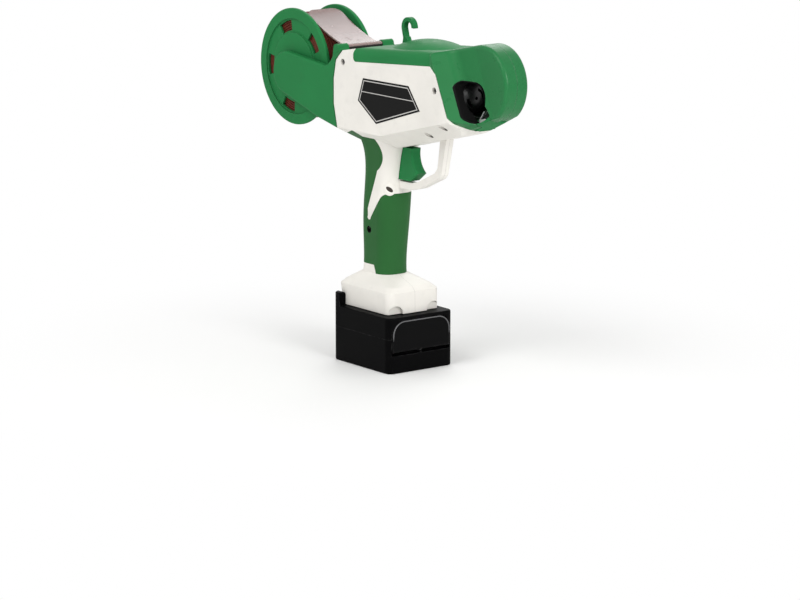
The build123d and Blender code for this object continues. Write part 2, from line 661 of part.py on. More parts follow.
def shell_half():
    """Right half of the clamshell without its screw holes."""
    with BuildPart() as half:
        add(outer_half())
        add(body_half(BODY_WALL), mode=Mode.SUBTRACT)
        add(tail_skin(TAIL_DEPTH + BOND_GAP), mode=Mode.SUBTRACT)
        add(shell_ribs())
        add(screw_bosses())
        with BuildSketch(Plane.XZ.offset(TONGUE_HALF_WIDTH)):
            with Locations(*NOSE_SCREWS):
                Circle(BOSS_R)
        extrude(amount=BODY_HALF_WIDTH - BODY_WALL - TONGUE_HALF_WIDTH)
        with BuildSketch(Plane.XZ.offset(FEED_PLATE_OUTER + BOND_GAP)):
            with Locations((FEED_X, FEED_BOSS_Z)):
                Circle(BOSS_R)
        extrude(amount=BODY_HALF_WIDTH - BODY_WALL - FEED_PLATE_OUTER)
        for screw_x, screw_z in NOSE_SCREWS:
            add(screw_hole(screw_x, screw_z, BODY_HALF_WIDTH, TONGUE_HALF_WIDTH), mode=Mode.SUBTRACT)
        add(grip_core())
        add(shoe_solid())
        with BuildSketch(Plane.YZ.offset(SHOE_POCKET_X)):
            with Locations((-SHOE_POCKET_Y, SHOE_BOTTOM_Z)):
                Circle(SHOE_POCKET_R)
        extrude(amount=SHOE_LENGTH, mode=Mode.SUBTRACT)
        with BuildSketch(Plane.XZ):
            Polygon(*LOOP_OUTSIDE, *LOOP_INSIDE, align=None)
        extrude(amount=LOOP_HALF_WIDTH, both=True)
        with BuildSketch(Plane.XZ):
            with Locations(((TRIGGER_BACK_X + BELLY_REAR[0]) / 2 - TRIGGER_TRAVEL / 2,
                            (TRIGGER_TOP_Z + TRIGGER_LOW_Z) / 2)):
                Rectangle(BELLY_REAR[0] - TRIGGER_BACK_X + TRIGGER_TRAVEL + 2 * SLIDE_GAP,
                          TRIGGER_TOP_Z - TRIGGER_LOW_Z + 2 * SLIDE_GAP)
        extrude(amount=TRIGGER_HALF_WIDTH + SLIDE_GAP, mode=Mode.SUBTRACT)
        with Locations((TRIGGER_STOP_X, 0, SWITCH_Z)):
            Box(SWITCH_LENGTH + SEAT_GAP, 2 * (SWITCH_HALF_WIDTH + SEAT_GAP), 2 * SWITCH_HALF_ROOM,
                align=(Align.MAX, Align.CENTER, Align.CENTER), mode=Mode.SUBTRACT)
        low_duct = (SHOE_BOTTOM_Z, SWITCH_Z - SWITCH_HALF_ROOM)
        high_duct = (SWITCH_Z + SWITCH_HALF_ROOM, GRIP_TOP_Z)
        for duct_low, duct_top in (low_duct, high_duct):
            with Locations((GRIP_DUCT_X, 0, duct_low)):
                Box(GRIP_DUCT_LENGTH, GRIP_DUCT_WIDTH, duct_top - duct_low,
                    align=(Align.CENTER, Align.CENTER, Align.MIN), mode=Mode.SUBTRACT)
        with BuildSketch(Plane.YZ.offset(RAIL_FRONT_X + SLIDE_GAP)):
            with Locations((0, SHOE_BOTTOM_Z)):
                Rectangle(2 * (RAIL_NECK_HALF_WIDTH + SLIDE_GAP), 2 * (RAIL_LIP_Z - SHOE_BOTTOM_Z))
            with Locations((0, (RAIL_LIP_Z + RAIL_TOP_Z) / 2)):
                Rectangle(2 * (RAIL_HALF_WIDTH + SLIDE_GAP), RAIL_TOP_Z - RAIL_LIP_Z + 2 * SLIDE_GAP)
        extrude(amount=-SHOE_LENGTH, mode=Mode.SUBTRACT)
        with Locations((RAIL_FRONT_X, 0, SHOE_BOTTOM_Z)):
            Box(TERMINAL_LENGTH, 2 * RAIL_NECK_HALF_WIDTH, RAIL_TOP_Z - SHOE_BOTTOM_Z + 4 * SLIDE_GAP,
                align=(Align.MIN, Align.CENTER, Align.MIN), mode=Mode.SUBTRACT)
        with Locations((TONGUE_REAR_X, 0, TONGUE_LOW_Z)):
            Box(BODY_HALF_WIDTH, 2 * TONGUE_HALF_WIDTH, TONGUE_TOP_Z - TONGUE_LOW_Z,
                align=(Align.MIN, Align.CENTER, Align.MIN), mode=Mode.SUBTRACT)
        with BuildSketch(Plane.YZ.offset(REAR_HIGH[0] - INLET_LENGTH)):
            with Locations((0, FEED_Z + TUBE_SLOPE * (REAR_HIGH[0] - FEED_X))):
                Circle(INLET_R)
        extrude(amount=3 * INLET_LENGTH, mode=Mode.SUBTRACT)
        split(bisect_by=Plane.XZ, keep=Keep.TOP)
    return half.part


RIGHT_HALF = shell_half()

with BuildPart() as shell_right:
    add(RIGHT_HALF)
    for screw_x, screw_z, face in ALL_SCREWS:
        add(screw_hole(screw_x, screw_z, face, 0), mode=Mode.SUBTRACT)
    with BuildSketch(Plane.XZ.offset(BOARD_Y + BOARD_THICKNESS + BOND_GAP)):
        with Locations(*BOARD_POSTS):
            Circle(BOARD_POST_R)
    extrude(amount=BODY_HALF_WIDTH - BODY_WALL - BOARD_Y - BOARD_THICKNESS)
save(shell_right, "shell_right")

# White clamshell, left half, with blind screw holes
with BuildPart() as shell_left:
    mirror(RIGHT_HALF, about=Plane.XZ)
    for screw_x, screw_z, _ in ALL_SCREWS:
        with BuildSketch(Plane.XZ):
            with Locations((screw_x, screw_z)):
                Circle(SCREW_R + RUN_GAP)
        extrude(amount=-SCREW_END_Y - SEAT_GAP, mode=Mode.SUBTRACT)
save(shell_left, "shell_left")

# Screws that close the clamshell, driven from the right
with BuildPart() as housing_screws:
    for screw_x, screw_z, face in ALL_SCREWS:
        add(screw(screw_x, screw_z, face, -SCREW_END_Y))
save(housing_screws, "housing_screws")

# Screws that hold the nose, one on each side
with BuildPart() as nose_screws:
    for screw_x, screw_z in NOSE_SCREWS:
        fixing = screw(screw_x, screw_z, BODY_HALF_WIDTH, TONGUE_HALF_WIDTH - NOSE_SCREW_DEPTH)
        add(fixing)
        add(mirror(fixing, about=Plane.XZ, mode=Mode.PRIVATE))
save(nose_screws, "nose_screws")

# Soft green sleeve moulded over the back and the lower part of the grip, with a tail under the body
with BuildPart() as grip_sleeve:
    add(grip_solid(0))
    add(sleeve_zone(), mode=Mode.INTERSECT)
    for layer, mode in ((body_half(0), Mode.SUBTRACT), (tail_skin(TAIL_DEPTH), Mode.ADD)):
        add(layer, mode=mode)
        add(mirror(layer, about=Plane.XZ, mode=Mode.PRIVATE), mode=mode)
    add(grip_solid(GRIP_SLEEVE - BOND_GAP), mode=Mode.SUBTRACT)
    for screw_x, screw_z in GRIP_SCREWS:
        with BuildSketch(Plane.XZ):
            with Locations((screw_x, screw_z)):
                Circle(SCREW_HEAD_R + SEAT_GAP)
        extrude(amount=BODY_HALF_WIDTH, mode=Mode.SUBTRACT)
save(grip_sleeve, "grip_sleeve")


# Green top cover: a hollow lid between the clamshell's shoulders with a long dome on it
def cover_top(x):
    """Height of the cover's flat top at x."""
    return COVER_REAR[1] + COVER_RISE + COVER_SLOPE * (x - COVER_REAR[0])


def dome_solid():
    """Barrel that bulges out of the cover's top."""
    axis_start = (DOME_REAR_X, 0, cover_top(DOME_REAR_X) - DOME_DEPTH)
    axis_end = (DOME_FRONT_X, 0, cover_top(DOME_FRONT_X) - DOME_DEPTH)
    peak = (DOME_PEAK_X, cover_top(DOME_PEAK_X) + DOME_RISE)
    with BuildPart() as dome:
        with BuildSketch(Plane.XZ):
            with BuildLine():
                rear = (DOME_REAR_X, cover_top(DOME_REAR_X))
                front = (DOME_FRONT_X, cover_top(DOME_FRONT_X))
                ThreePointArc(rear, peak, front)
                Polyline(front, (axis_end[0], axis_end[2]), (axis_start[0], axis_start[2]), rear)
            make_face()
        axis = Axis(axis_start, Vector(axis_end) - Vector(axis_start))
        revolve(axis=axis)
        with BuildSketch(Plane.XZ):
            Polygon(
                (DOME_REAR_X, cover_top(DOME_REAR_X) - COVER_WALL / 2),
                (DOME_FRONT_X, cover_top(DOME_FRONT_X) - COVER_WALL / 2),
                (DOME_FRONT_X, cover_top(DOME_FRONT_X) + 2 * DOME_RISE),
                (DOME_REAR_X, cover_top(DOME_REAR_X) + 2 * DOME_RISE), align=None,
            )
        extrude(amount=BODY_HALF_WIDTH, both=True, mode=Mode.INTERSECT)
    return dome.part


with BuildPart() as top_cover:
    tail_x = COVER_REAR[0] + COVER_TAIL
    with BuildSketch(Plane.XZ) as cover_side:
        Polygon(
            COVER_REAR, DECK_FRONT, (tail_x, cover_top(tail_x)),
            (COVER_FRONT[0], cover_top(COVER_FRONT[0])), COVER_FRONT, align=None,
        )
        fillet(corner_at(cover_side, COVER_REAR), COVER_CORNER)
    extrude(amount=COVER_HALF_WIDTH, both=True)
    rim = top_cover.edges().filter_by(lambda edge: abs(edge.center().Y) > COVER_HALF_WIDTH - 0.01)
    fillet(rim.group_by(Axis.Z)[-1], COVER_ROUND)
    with BuildSketch(Plane.XZ):
        Polygon(
            (tail_x, COVER_REAR[1]), (tail_x, cover_top(tail_x) - COVER_WALL),
            (COVER_FRONT[0] - COVER_WALL, cover_top(COVER_FRONT[0] - COVER_WALL) - COVER_WALL),
            (COVER_FRONT[0] - COVER_WALL, COVER_REAR[1]), align=None,
        )
    extrude(amount=COVER_HALF_WIDTH - COVER_ROUND, both=True, mode=Mode.SUBTRACT)
    add(dome_solid())
save(top_cover, "top_cover")

# Green hanging hook: a strip that rises from a flared foot on the dome and bows forward
with BuildPart() as hanging_hook:
    with BuildSketch(Plane.XZ):
        with BuildLine():
            stem = Line((HOOK_X, cover_top(HOOK_X)), (HOOK_X - HOOK_LEAN, HOOK_STEM_Z))
            TangentArc(stem @ 1, HOOK_TIP, tangent=stem % 1)
        trace(line_width=HOOK_THICKNESS)
        with Locations((HOOK_X, cover_top(HOOK_X))):
            Polygon(*HOOK_FOOT, align=None)
    extrude(amount=HOOK_WIDTH / 2, both=True)
    add(top_cover.part, mode=Mode.SUBTRACT)
save(hanging_hook, "hanging_hook")

# Green nose, two halves: a narrow round plate with a sideways mouth, flared out to the body behind
def nose_edge_x(z):
    """Where the nose meets the white panels at a height, seen from the side."""
    return NOSE_EDGE_LOW[0] + NOSE_SLANT * (z - NOSE_EDGE_LOW[1])


def nose_plan():
    """Right half of the nose in plan, leaning with the slanted edge of the white panels."""
    edge_x = nose_edge_x(CHIN_LOW[1])
    far_x = NOSE_X + 3 * NOSE_RADIUS
    height = NOSE_Z + NOSE_RADIUS - CHIN_LOW[1]
    with BuildPart() as plan:
        with BuildSketch(Plane.XY.offset(CHIN_LOW[1])) as outline:
            Polygon(
                (0, 0), (0, -BODY_HALF_WIDTH), (edge_x, -BODY_HALF_WIDTH),
                (edge_x + NOSE_FLARE, -NOSE_FLARE_WIDTH), (edge_x + NOSE_TAPER, -NOSE_HALF_WIDTH),
                (far_x, -NOSE_HALF_WIDTH), (far_x, 0), align=None,
            )
            bend = outline.vertices().filter_by(lambda vertex: abs(vertex.Y + NOSE_FLARE_WIDTH) < 0.01)
            fillet(bend, NOSE_FLARE_ROUND)
        extrude(amount=height * math.hypot(1, NOSE_SLANT), dir=(NOSE_SLANT, 0, 1))
    return plan.part


def chin_bevel():
    """Space under the right side of the nose, outside its rounded underside."""
    lean = (GATE_FRONT[1] - CHIN_LOW[1]) / (GATE_FRONT[0] - CHIN_LOW[0])
    with BuildPart() as bevel:
        with BuildSketch(Plane.YZ.offset(CHIN_LOW[0] - BODY_HALF_WIDTH)):
            with Locations((0, CHIN_LOW[1] - lean * BODY_HALF_WIDTH)):
                Polygon(
                    *CHIN_KEEL, (CHIN_KEEL[-1][0], -BODY_HALF_WIDTH), (0, -BODY_HALF_WIDTH), align=None,
                )
        extrude(amount=3 * BODY_HALF_WIDTH * math.hypot(1, lean), dir=(1, 0, lean))
    return bevel.part


def mouth_outline(inset):
    """Side view of the mouth, an egg shape, moved in by inset."""
    corners = (
        ((nose_edge_x(MOUTH_LOW_Z) + MOUTH_RIM, MOUTH_LOW_Z), MOUTH_LOW_ROUND),
        ((nose_edge_x(MOUTH_TOP_Z) + MOUTH_RIM, MOUTH_TOP_Z), MOUTH_REAR_ROUND),
        ((MOUTH_FRONT_X, MOUTH_TOP_Z), MOUTH_FRONT_ROUND),
        ((MOUTH_FRONT_X, MOUTH_LOW_Z), MOUTH_TIP_ROUND),
    )
    with BuildSketch() as mouth:
        Polygon(*(corner for corner, _ in corners), align=None)
        for corner, radius in corners:
            fillet(mouth.vertices().sort_by_distance(corner)[0], radius)
        if inset > 0:
            offset(amount=-inset)
    return mouth.sketch


def nose_half():
    """Right half of the nose with its tongue inside the body, the mouth and the seats for the drive."""
    rear_top = (COVER_FRONT[0], cover_top(COVER_FRONT[0]))
    run = NOSE_X - rear_top[0]
    drop = rear_top[1] - NOSE_Z
    lean = math.asin(NOSE_RADIUS / math.hypot(run, drop)) - math.atan2(drop, run)
    crown = (NOSE_X - NOSE_RADIUS * math.sin(lean), NOSE_Z + NOSE_RADIUS * math.cos(lean))
    tip = (NOSE_X + math.sqrt(NOSE_RADIUS**2 - (NOSE_Z - NOSE_TIP_Z) ** 2), NOSE_TIP_Z)

    def on_rim(point):
        on_arc = abs(math.hypot(point.X - NOSE_X, point.Z - NOSE_Z) - NOSE_RADIUS) < 0.01
        on_line = abs(point.Z - rear_top[1] - math.tan(lean) * (point.X - rear_top[0])) < 0.01
        return point.Y < -1 and (on_arc or on_line)

    with BuildPart() as half:
        add(nose_plan())
        with BuildSketch(Plane.XZ):
            with BuildLine():
                ThreePointArc(crown, (NOSE_X + NOSE_RADIUS, NOSE_Z), tip)
                Polyline(
                    tip, CHIN_FRONT, CHIN_LOW, NOSE_EDGE_LOW, NOSE_EDGE_TOP, COVER_FRONT, rear_top, crown,
                )
            make_face()
        extrude(amount=BODY_HALF_WIDTH, mode=Mode.INTERSECT)
        rim = half.edges().filter_by(lambda edge: all(on_rim(edge @ share) for share in (0, 0.5, 1)))
        fillet(rim, NOSE_ROUND)
        add(chin_bevel(), mode=Mode.SUBTRACT)
        tongue_low = TONGUE_LOW_Z + SEAT_GAP
        tongue_top = TONGUE_TOP_Z - SEAT_GAP
        with BuildSketch(Plane.XZ):
            Polygon(
                (TONGUE_REAR_X + SEAT_GAP, tongue_low),
                (nose_edge_x(tongue_low) + NOSE_FLARE / 2, tongue_low),
                (nose_edge_x(tongue_top) + NOSE_FLARE / 2, tongue_top),
                (TONGUE_REAR_X + SEAT_GAP, tongue_top), align=None,
            )
        extrude(amount=TONGUE_HALF_WIDTH - SEAT_GAP)
        with BuildSketch(Plane.XZ):
            add(mouth_outline(0))
        extrude(amount=BODY_HALF_WIDTH, mode=Mode.SUBTRACT)
        with BuildSketch(TWIST_PLANE.offset(TWISTER_REAR_X - HEAD_GAP)):
            Circle(TWISTER_R + HEAD_GAP)
        extrude(amount=GATE_X - TWISTER_REAR_X, mode=Mode.SUBTRACT)
        with BuildSketch(TWIST_PLANE.offset(BEARING_REAR_X)):
            Circle(BEARING_R + RUN_GAP)
        extrude(amount=BEARING_WIDTH, mode=Mode.SUBTRACT)
        with BuildSketch(TWIST_PLANE.offset(TONGUE_REAR_X)):
            Circle(SHAFT_R + SLIDE_GAP)
        extrude(amount=TWISTER_REAR_X - TONGUE_REAR_X, mode=Mode.SUBTRACT)
        with BuildSketch(TUBE_PLANE):
            Circle(TUBE_R + RUN_GAP)
        extrude(amount=(TUBE_FRONT_X - FEED_X) * math.hypot(1, TUBE_SLOPE), mode=Mode.SUBTRACT)
        with BuildSketch(TUBE_PLANE):
            Circle(TUBE_BORE_R)
        extrude(amount=(CURL_X - FEED_X) * math.hypot(1, TUBE_SLOPE), mode=Mode.SUBTRACT)
        with BuildSketch(CURL_PLANE):
            add(ring_sector(CURL_R - BOND_GAP, CURL_R + CURL_STRIP + BOND_GAP, CURL_START, CURL_SWEEP))
        extrude(amount=CURL_HALF_WIDTH + BOND_GAP, both=True, mode=Mode.SUBTRACT)
        with BuildSketch(GATE_PLANE):
            Circle(GATE_REACH + SLIDE_GAP)
            with Locations((CHEEK_FRONT_X - GATE_X, 0)):
                Rectangle(2 * GATE_REACH, 2 * GATE_REACH, align=(Align.MIN, Align.CENTER),
                          mode=Mode.INTERSECT)
        extrude(amount=BODY_HALF_WIDTH, mode=Mode.SUBTRACT)
        with Locations((GATE_X - GATE_KNUCKLE_R - SLIDE_GAP, 0, MOUTH_LOW_Z)):
            Box(GATE_REACH, 2 * (GATE_ARM_HALF_WIDTH + SLIDE_GAP), GATE_REACH,
                align=(Align.MIN, Align.CENTER, Align.CENTER), mode=Mode.SUBTRACT)
        with BuildSketch(GATE_PLANE):
            Circle(GATE_PIN_R + RUN_GAP)
        extrude(amount=GATE_PIN_HALF_LENGTH, mode=Mode.SUBTRACT)
        for screw_x, screw_z in NOSE_SCREWS:
            add(screw_hole(screw_x, screw_z, BODY_HALF_WIDTH, TONGUE_HALF_WIDTH - NOSE_SCREW_DEPTH),
                mode=Mode.SUBTRACT)
        split(bisect_by=Plane.XZ, keep=Keep.TOP)
    return half.part


NOSE_HALF = nose_half()

with BuildPart() as nose_right:
    add(NOSE_HALF)
save(nose_right, "nose_right")

with BuildPart() as nose_left:
    mirror(NOSE_HALF, about=Plane.XZ)
save(nose_left, "nose_left")

# Black liner on the rear, top and lower walls of the mouth, open round the twister and the gate
with BuildPart() as mouth_liner:
    add(nose_plan())
    add(mirror(nose_plan(), about=Plane.XZ, mode=Mode.PRIVATE))
    with BuildSketch(Plane.XZ):
        add(mouth_outline(BOND_GAP))
        add(mouth_outline(LINER), mode=Mode.SUBTRACT)
    extrude(amount=BODY_HALF_WIDTH, both=True, mode=Mode.INTERSECT)
    with Locations((LINER_FRONT_X, 0, TWIST_Z)):
        Box(BODY_HALF_WIDTH, 2 * BODY_HALF_WIDTH, 2 * BODY_HALF_WIDTH,
            align=(Align.MIN, Align.CENTER, Align.CENTER), mode=Mode.SUBTRACT)
    with BuildSketch(TWIST_PLANE.offset(TWISTER_REAR_X - HEAD_GAP)):
        Circle(TWISTER_R + HEAD_GAP)
    extrude(amount=GATE_X - TWISTER_REAR_X, mode=Mode.SUBTRACT)
    with Locations((GATE_X - GATE_KNUCKLE_R - SLIDE_GAP, 0, MOUTH_LOW_Z)):
        Box(GATE_REACH, 2 * (GATE_ARM_HALF_WIDTH + SLIDE_GAP), GATE_REACH,
            align=(Align.MIN, Align.CENTER, Align.CENTER), mode=Mode.SUBTRACT)
save(mouth_liner, "mouth_liner")

# Mouth gate: a green finger hinged under the mouth that closes its lower front
with BuildPart() as mouth_gate:
    add(nose_plan())
    add(mirror(nose_plan(), about=Plane.XZ, mode=Mode.PRIVATE))
    with BuildSketch(Plane.XZ):
        Polygon(CHIN_LOW, CHIN_FRONT, GATE_FRONT, *reversed(GATE_TOP), align=None)
        with Locations((GATE_X, GATE_Z)):
            Circle(GATE_REACH, mode=Mode.INTERSECT)
    extrude(amount=BODY_HALF_WIDTH, both=True, mode=Mode.INTERSECT)
    add(chin_bevel(), mode=Mode.SUBTRACT)
    add(mirror(chin_bevel(), about=Plane.XZ, mode=Mode.PRIVATE), mode=Mode.SUBTRACT)
    head_x = CHEEK_FRONT_X + GATE_HEAD_GAP
    for side in (-1, 1):
        with Locations((head_x, side * GATE_ARM_HALF_WIDTH, GATE_Z)):
            Box(GATE_REACH, BODY_HALF_WIDTH, GATE_REACH, mode=Mode.SUBTRACT,
                align=(Align.MAX, Align.MIN if side > 0 else Align.MAX, Align.CENTER))
    with BuildSketch(GATE_PLANE):
        Circle(GATE_KNUCKLE_R)
    extrude(amount=GATE_ARM_HALF_WIDTH, both=True)
    with BuildSketch(GATE_PLANE):
        Circle(GATE_PIN_R + RUN_GAP)
    extrude(amount=BODY_HALF_WIDTH, both=True, mode=Mode.SUBTRACT)
save(mouth_gate, "mouth_gate")

# Bent steel guide on the gate
with BuildPart() as gate_guide:
    with BuildSketch(Plane.XZ):
        with BuildLine():
            Polyline(GUIDE_LOW_END, GUIDE_BEND, GUIDE_HIGH_END)
        trace(line_width=GUIDE_STRIP)
    extrude(amount=GUIDE_HALF_WIDTH, both=True)
    add(mouth_gate.part, mode=Mode.SUBTRACT)
save(gate_guide, "gate_guide")

# Steel pin that the gate swings on, held in the nose's cheeks
with BuildPart() as gate_pin:
    with BuildSketch(GATE_PLANE):
        Circle(GATE_PIN_R)
    extrude(amount=GATE_PIN_HALF_LENGTH - SEAT_GAP, both=True)
save(gate_pin, "gate_pin")

# Black twister head: a dome with an eye and two wire slots, on the end of its shaft
with BuildPart() as twister_head:
    with BuildSketch(Plane.XZ):
        with BuildLine():
            shoulder = (TWISTER_SHOULDER_X, TWIST_Z + TWISTER_R / 2)
            rim = (TWISTER_RIM_X, TWIST_Z + TWISTER_R)
            apex = (TWISTER_APEX_X, TWIST_Z)
            Polyline(apex, (TWISTER_REAR_X, TWIST_Z), (TWISTER_REAR_X, TWIST_Z + TWISTER_R), rim)
            ThreePointArc(rim, shoulder, apex)
        make_face()
    revolve(axis=Axis((0, 0, TWIST_Z), (1, 0, 0)))
    with BuildSketch(TWIST_PLANE.offset(TWISTER_RIM_X - SLOT_DEPTH / 2)):
        for start in (0, 180):
            add(ring_sector(SLOT_INNER_R, SLOT_INNER_R + SLOT_WIDTH, start, SLOT_SWEEP))
    extrude(amount=TWISTER_R, mode=Mode.SUBTRACT)
    with BuildSketch(TWIST_PLANE.offset(TWISTER_APEX_X)):
        Circle(TWISTER_EYE_R)
    extrude(amount=-SLOT_DEPTH, mode=Mode.SUBTRACT)
    with BuildSketch(TWIST_PLANE.offset(TWISTER_REAR_X)):
        Circle(SHAFT_R)
    extrude(amount=SHAFT_SOCKET, mode=Mode.SUBTRACT)
save(twister_head, "twister_head")

# Twister shaft
with BuildPart() as twister_shaft:
    with BuildSketch(TWIST_PLANE.offset(SHAFT_REAR_X)):
        Circle(SHAFT_R)
    extrude(amount=TWISTER_REAR_X + SHAFT_SOCKET - SHAFT_REAR_X)
save(twister_shaft, "twister_shaft")

# Gear on the twister shaft
with BuildPart() as twister_gear:
    with BuildSketch(TWIST_PLANE.offset(GEAR_REAR_X)):
        add(gear_outline(TWIST_GEAR_TEETH, 90))
        Circle(SHAFT_R, mode=Mode.SUBTRACT)
    extrude(amount=GEAR_WIDTH)
    with BuildSketch(TWIST_PLANE.offset(GEAR_REAR_X + GEAR_WIDTH)):
        Circle(BUSH_R)
        Circle(SHAFT_R, mode=Mode.SUBTRACT)
    extrude(amount=GEAR_WIDTH / 2)
save(twister_gear, "twister_gear")

# Pinion with its shaft, driven by the gearbox
with BuildPart() as drive_pinion:
    with BuildSketch(MOTOR_PLANE.offset(GEAR_REAR_X)):
        add(gear_outline(PINION_TEETH, 90 + 180 / PINION_TEETH))
    extrude(amount=GEAR_WIDTH)
    with BuildSketch(MOTOR_PLANE.offset(GEAR_REAR_X + GEAR_WIDTH)):
        Circle(PINION_SHAFT_R)
    extrude(amount=MOTOR_REAR_X + MOTOR_LENGTH - GEAR_REAR_X - GEAR_WIDTH + GEARBOX_LENGTH / 2)
save(drive_pinion, "drive_pinion")

# Plain bush that carries the rear of the twister shaft
with BuildPart() as shaft_bush:
    with BuildSketch(TWIST_PLANE.offset(SHAFT_REAR_X)):
        Circle(BUSH_R - RUN_GAP)
        Circle(SHAFT_R + RUN_GAP, mode=Mode.SUBTRACT)
    extrude(amount=RIB_THICKNESS)
save(shaft_bush, "shaft_bush")

# Ball bearing behind the twister head, seen as one ring with a groove in each face
with BuildPart() as twister_bearing:
    with BuildSketch(TWIST_PLANE.offset(BEARING_REAR_X)):
        Circle(BEARING_R)
        Circle(SHAFT_R + RUN_GAP, mode=Mode.SUBTRACT)
    extrude(amount=BEARING_WIDTH)
    for groove_x in (BEARING_REAR_X, BEARING_REAR_X + BEARING_WIDTH):
        with BuildSketch(TWIST_PLANE.offset(groove_x)):
            Circle((2 * BEARING_R + SHAFT_R) / 3)
            Circle((BEARING_R + 2 * SHAFT_R) / 3, mode=Mode.SUBTRACT)
        extrude(amount=BEARING_GROOVE, both=True, mode=Mode.SUBTRACT)
save(twister_bearing, "twister_bearing")

# Twist motor can with its rear boss
with BuildPart() as twist_motor:
    with BuildSketch(MOTOR_PLANE.offset(MOTOR_REAR_X)):
        Circle(MOTOR_R)
    extrude(amount=MOTOR_LENGTH)
    fillet(twist_motor.edges().group_by(Axis.X)[0], MOTOR_ROUND)
    with BuildSketch(MOTOR_PLANE.offset(MOTOR_REAR_X)):
        Circle(BUSH_R)
    extrude(amount=-MOTOR_ROUND)
save(twist_motor, "twist_motor")

# Reduction gearbox in front of the motor
with BuildPart() as twist_gearbox:
    with BuildSketch(MOTOR_PLANE.offset(MOTOR_REAR_X + MOTOR_LENGTH)):
        Circle(GEARBOX_R)
    extrude(amount=GEARBOX_LENGTH)
    with BuildSketch(MOTOR_PLANE.offset(MOTOR_REAR_X + MOTOR_LENGTH + GEARBOX_LENGTH / 2)):
        Circle(PINION_SHAFT_R + RUN_GAP)
    extrude(amount=GEARBOX_LENGTH, mode=Mode.SUBTRACT)
save(twist_gearbox, "twist_gearbox")

# Bracket of the wire feed: two plates and a floor, hung on bosses of the clamshell
with BuildPart() as feed_bracket:
    with BuildSketch(Plane.XZ):
        with Locations((FEED_X, FEED_PLATE_LOW_Z)):
            Rectangle(2 * FEED_PLATE_HALF_LENGTH, FEED_PLATE_TOP_Z - FEED_PLATE_LOW_Z,
                      align=(Align.CENTER, Align.MIN))
    extrude(amount=FEED_PLATE_OUTER, both=True)
    with Locations((FEED_X, 0, FEED_PLATE_LOW_Z + FEED_PLATE / 2)):
        Box(4 * FEED_PLATE_HALF_LENGTH, 2 * FEED_PLATE_INNER, 2 * FEED_PLATE_TOP_Z,
            align=(Align.CENTER, Align.CENTER, Align.MIN), mode=Mode.SUBTRACT)
    with BuildSketch(FEED_PLANE):
        with Locations((0, -FEED_CENTRES / 2), (0, FEED_CENTRES / 2)):
            Circle(FEED_SHAFT_R + RUN_GAP)
    extrude(amount=BODY_HALF_WIDTH, both=True, mode=Mode.SUBTRACT)
save(feed_bracket, "feed_bracket")


# Feed rollers: each is turned in one piece with its gear and shaft, with a groove for the wire
def feed_roller(height, turn, left_end):
    """Roller at a height from the wire line, its shaft reaching to left_end on the left."""
    right_end = FEED_PLATE_OUTER - SEAT_GAP
    with BuildPart() as roller:
        with BuildSketch(FEED_PLANE.offset(-FEED_ROLLER_HALF)):
            with Locations((0, height)):
                Circle(FEED_ROLLER_R)
        extrude(amount=2 * FEED_ROLLER_HALF)
        with BuildSketch(FEED_PLANE.offset(-FEED_ROLLER_HALF - FEED_GEAR_WIDTH)):
            with Locations((0, height)):
                add(gear_outline(FEED_TEETH, turn))
        extrude(amount=FEED_GEAR_WIDTH)
        with BuildSketch(FEED_PLANE.offset(-left_end)):
            with Locations((0, height)):
                Circle(FEED_SHAFT_R)
        extrude(amount=left_end + right_end)
        with BuildSketch(Plane.YZ.offset(FEED_X)):
            with Locations((0, FEED_Z + height + FEED_ROLLER_R)):
                Circle(TUBE_BORE_R)
        revolve(axis=Axis((FEED_X, 0, FEED_Z + height), (0, 1, 0)), mode=Mode.SUBTRACT)
    return roller.part


with BuildPart() as feed_roller_lower:
    add(feed_roller(-FEED_CENTRES / 2, 90, FEED_PLATE_OUTER + FEED_MOTOR_LENGTH / 2))
save(feed_roller_lower, "feed_roller_lower")

with BuildPart() as feed_roller_upper:
    add(feed_roller(FEED_CENTRES / 2, 90 + 180 / FEED_TEETH, FEED_PLATE_OUTER - SEAT_GAP))
save(feed_roller_upper, "feed_roller_upper")

# Feed motor on the left plate of the bracket
with BuildPart() as feed_motor:
    with BuildSketch(FEED_PLANE.offset(-FEED_PLATE_OUTER)):
        with Locations((0, -FEED_CENTRES / 2)):
            Circle(FEED_MOTOR_R)
    extrude(amount=-FEED_MOTOR_LENGTH)
    with BuildSketch(FEED_PLANE.offset(-FEED_PLATE_OUTER)):
        with Locations((0, -FEED_CENTRES / 2)):
            Circle(FEED_SHAFT_R + RUN_GAP)
    extrude(amount=-FEED_MOTOR_LENGTH / 2 - SEAT_GAP, mode=Mode.SUBTRACT)
save(feed_motor, "feed_motor")

# Steel tube that leads the wire from the rollers into the nose
with BuildPart() as feed_tube:
    with BuildSketch(TUBE_PLANE.offset((TUBE_REAR_X - FEED_X) * math.hypot(1, TUBE_SLOPE))):
        Circle(TUBE_R)
        Circle(TUBE_BORE_R, mode=Mode.SUBTRACT)
    extrude(amount=(TUBE_FRONT_X - TUBE_REAR_X) * math.hypot(1, TUBE_SLOPE) - SEAT_GAP)
save(feed_tube, "feed_tube")

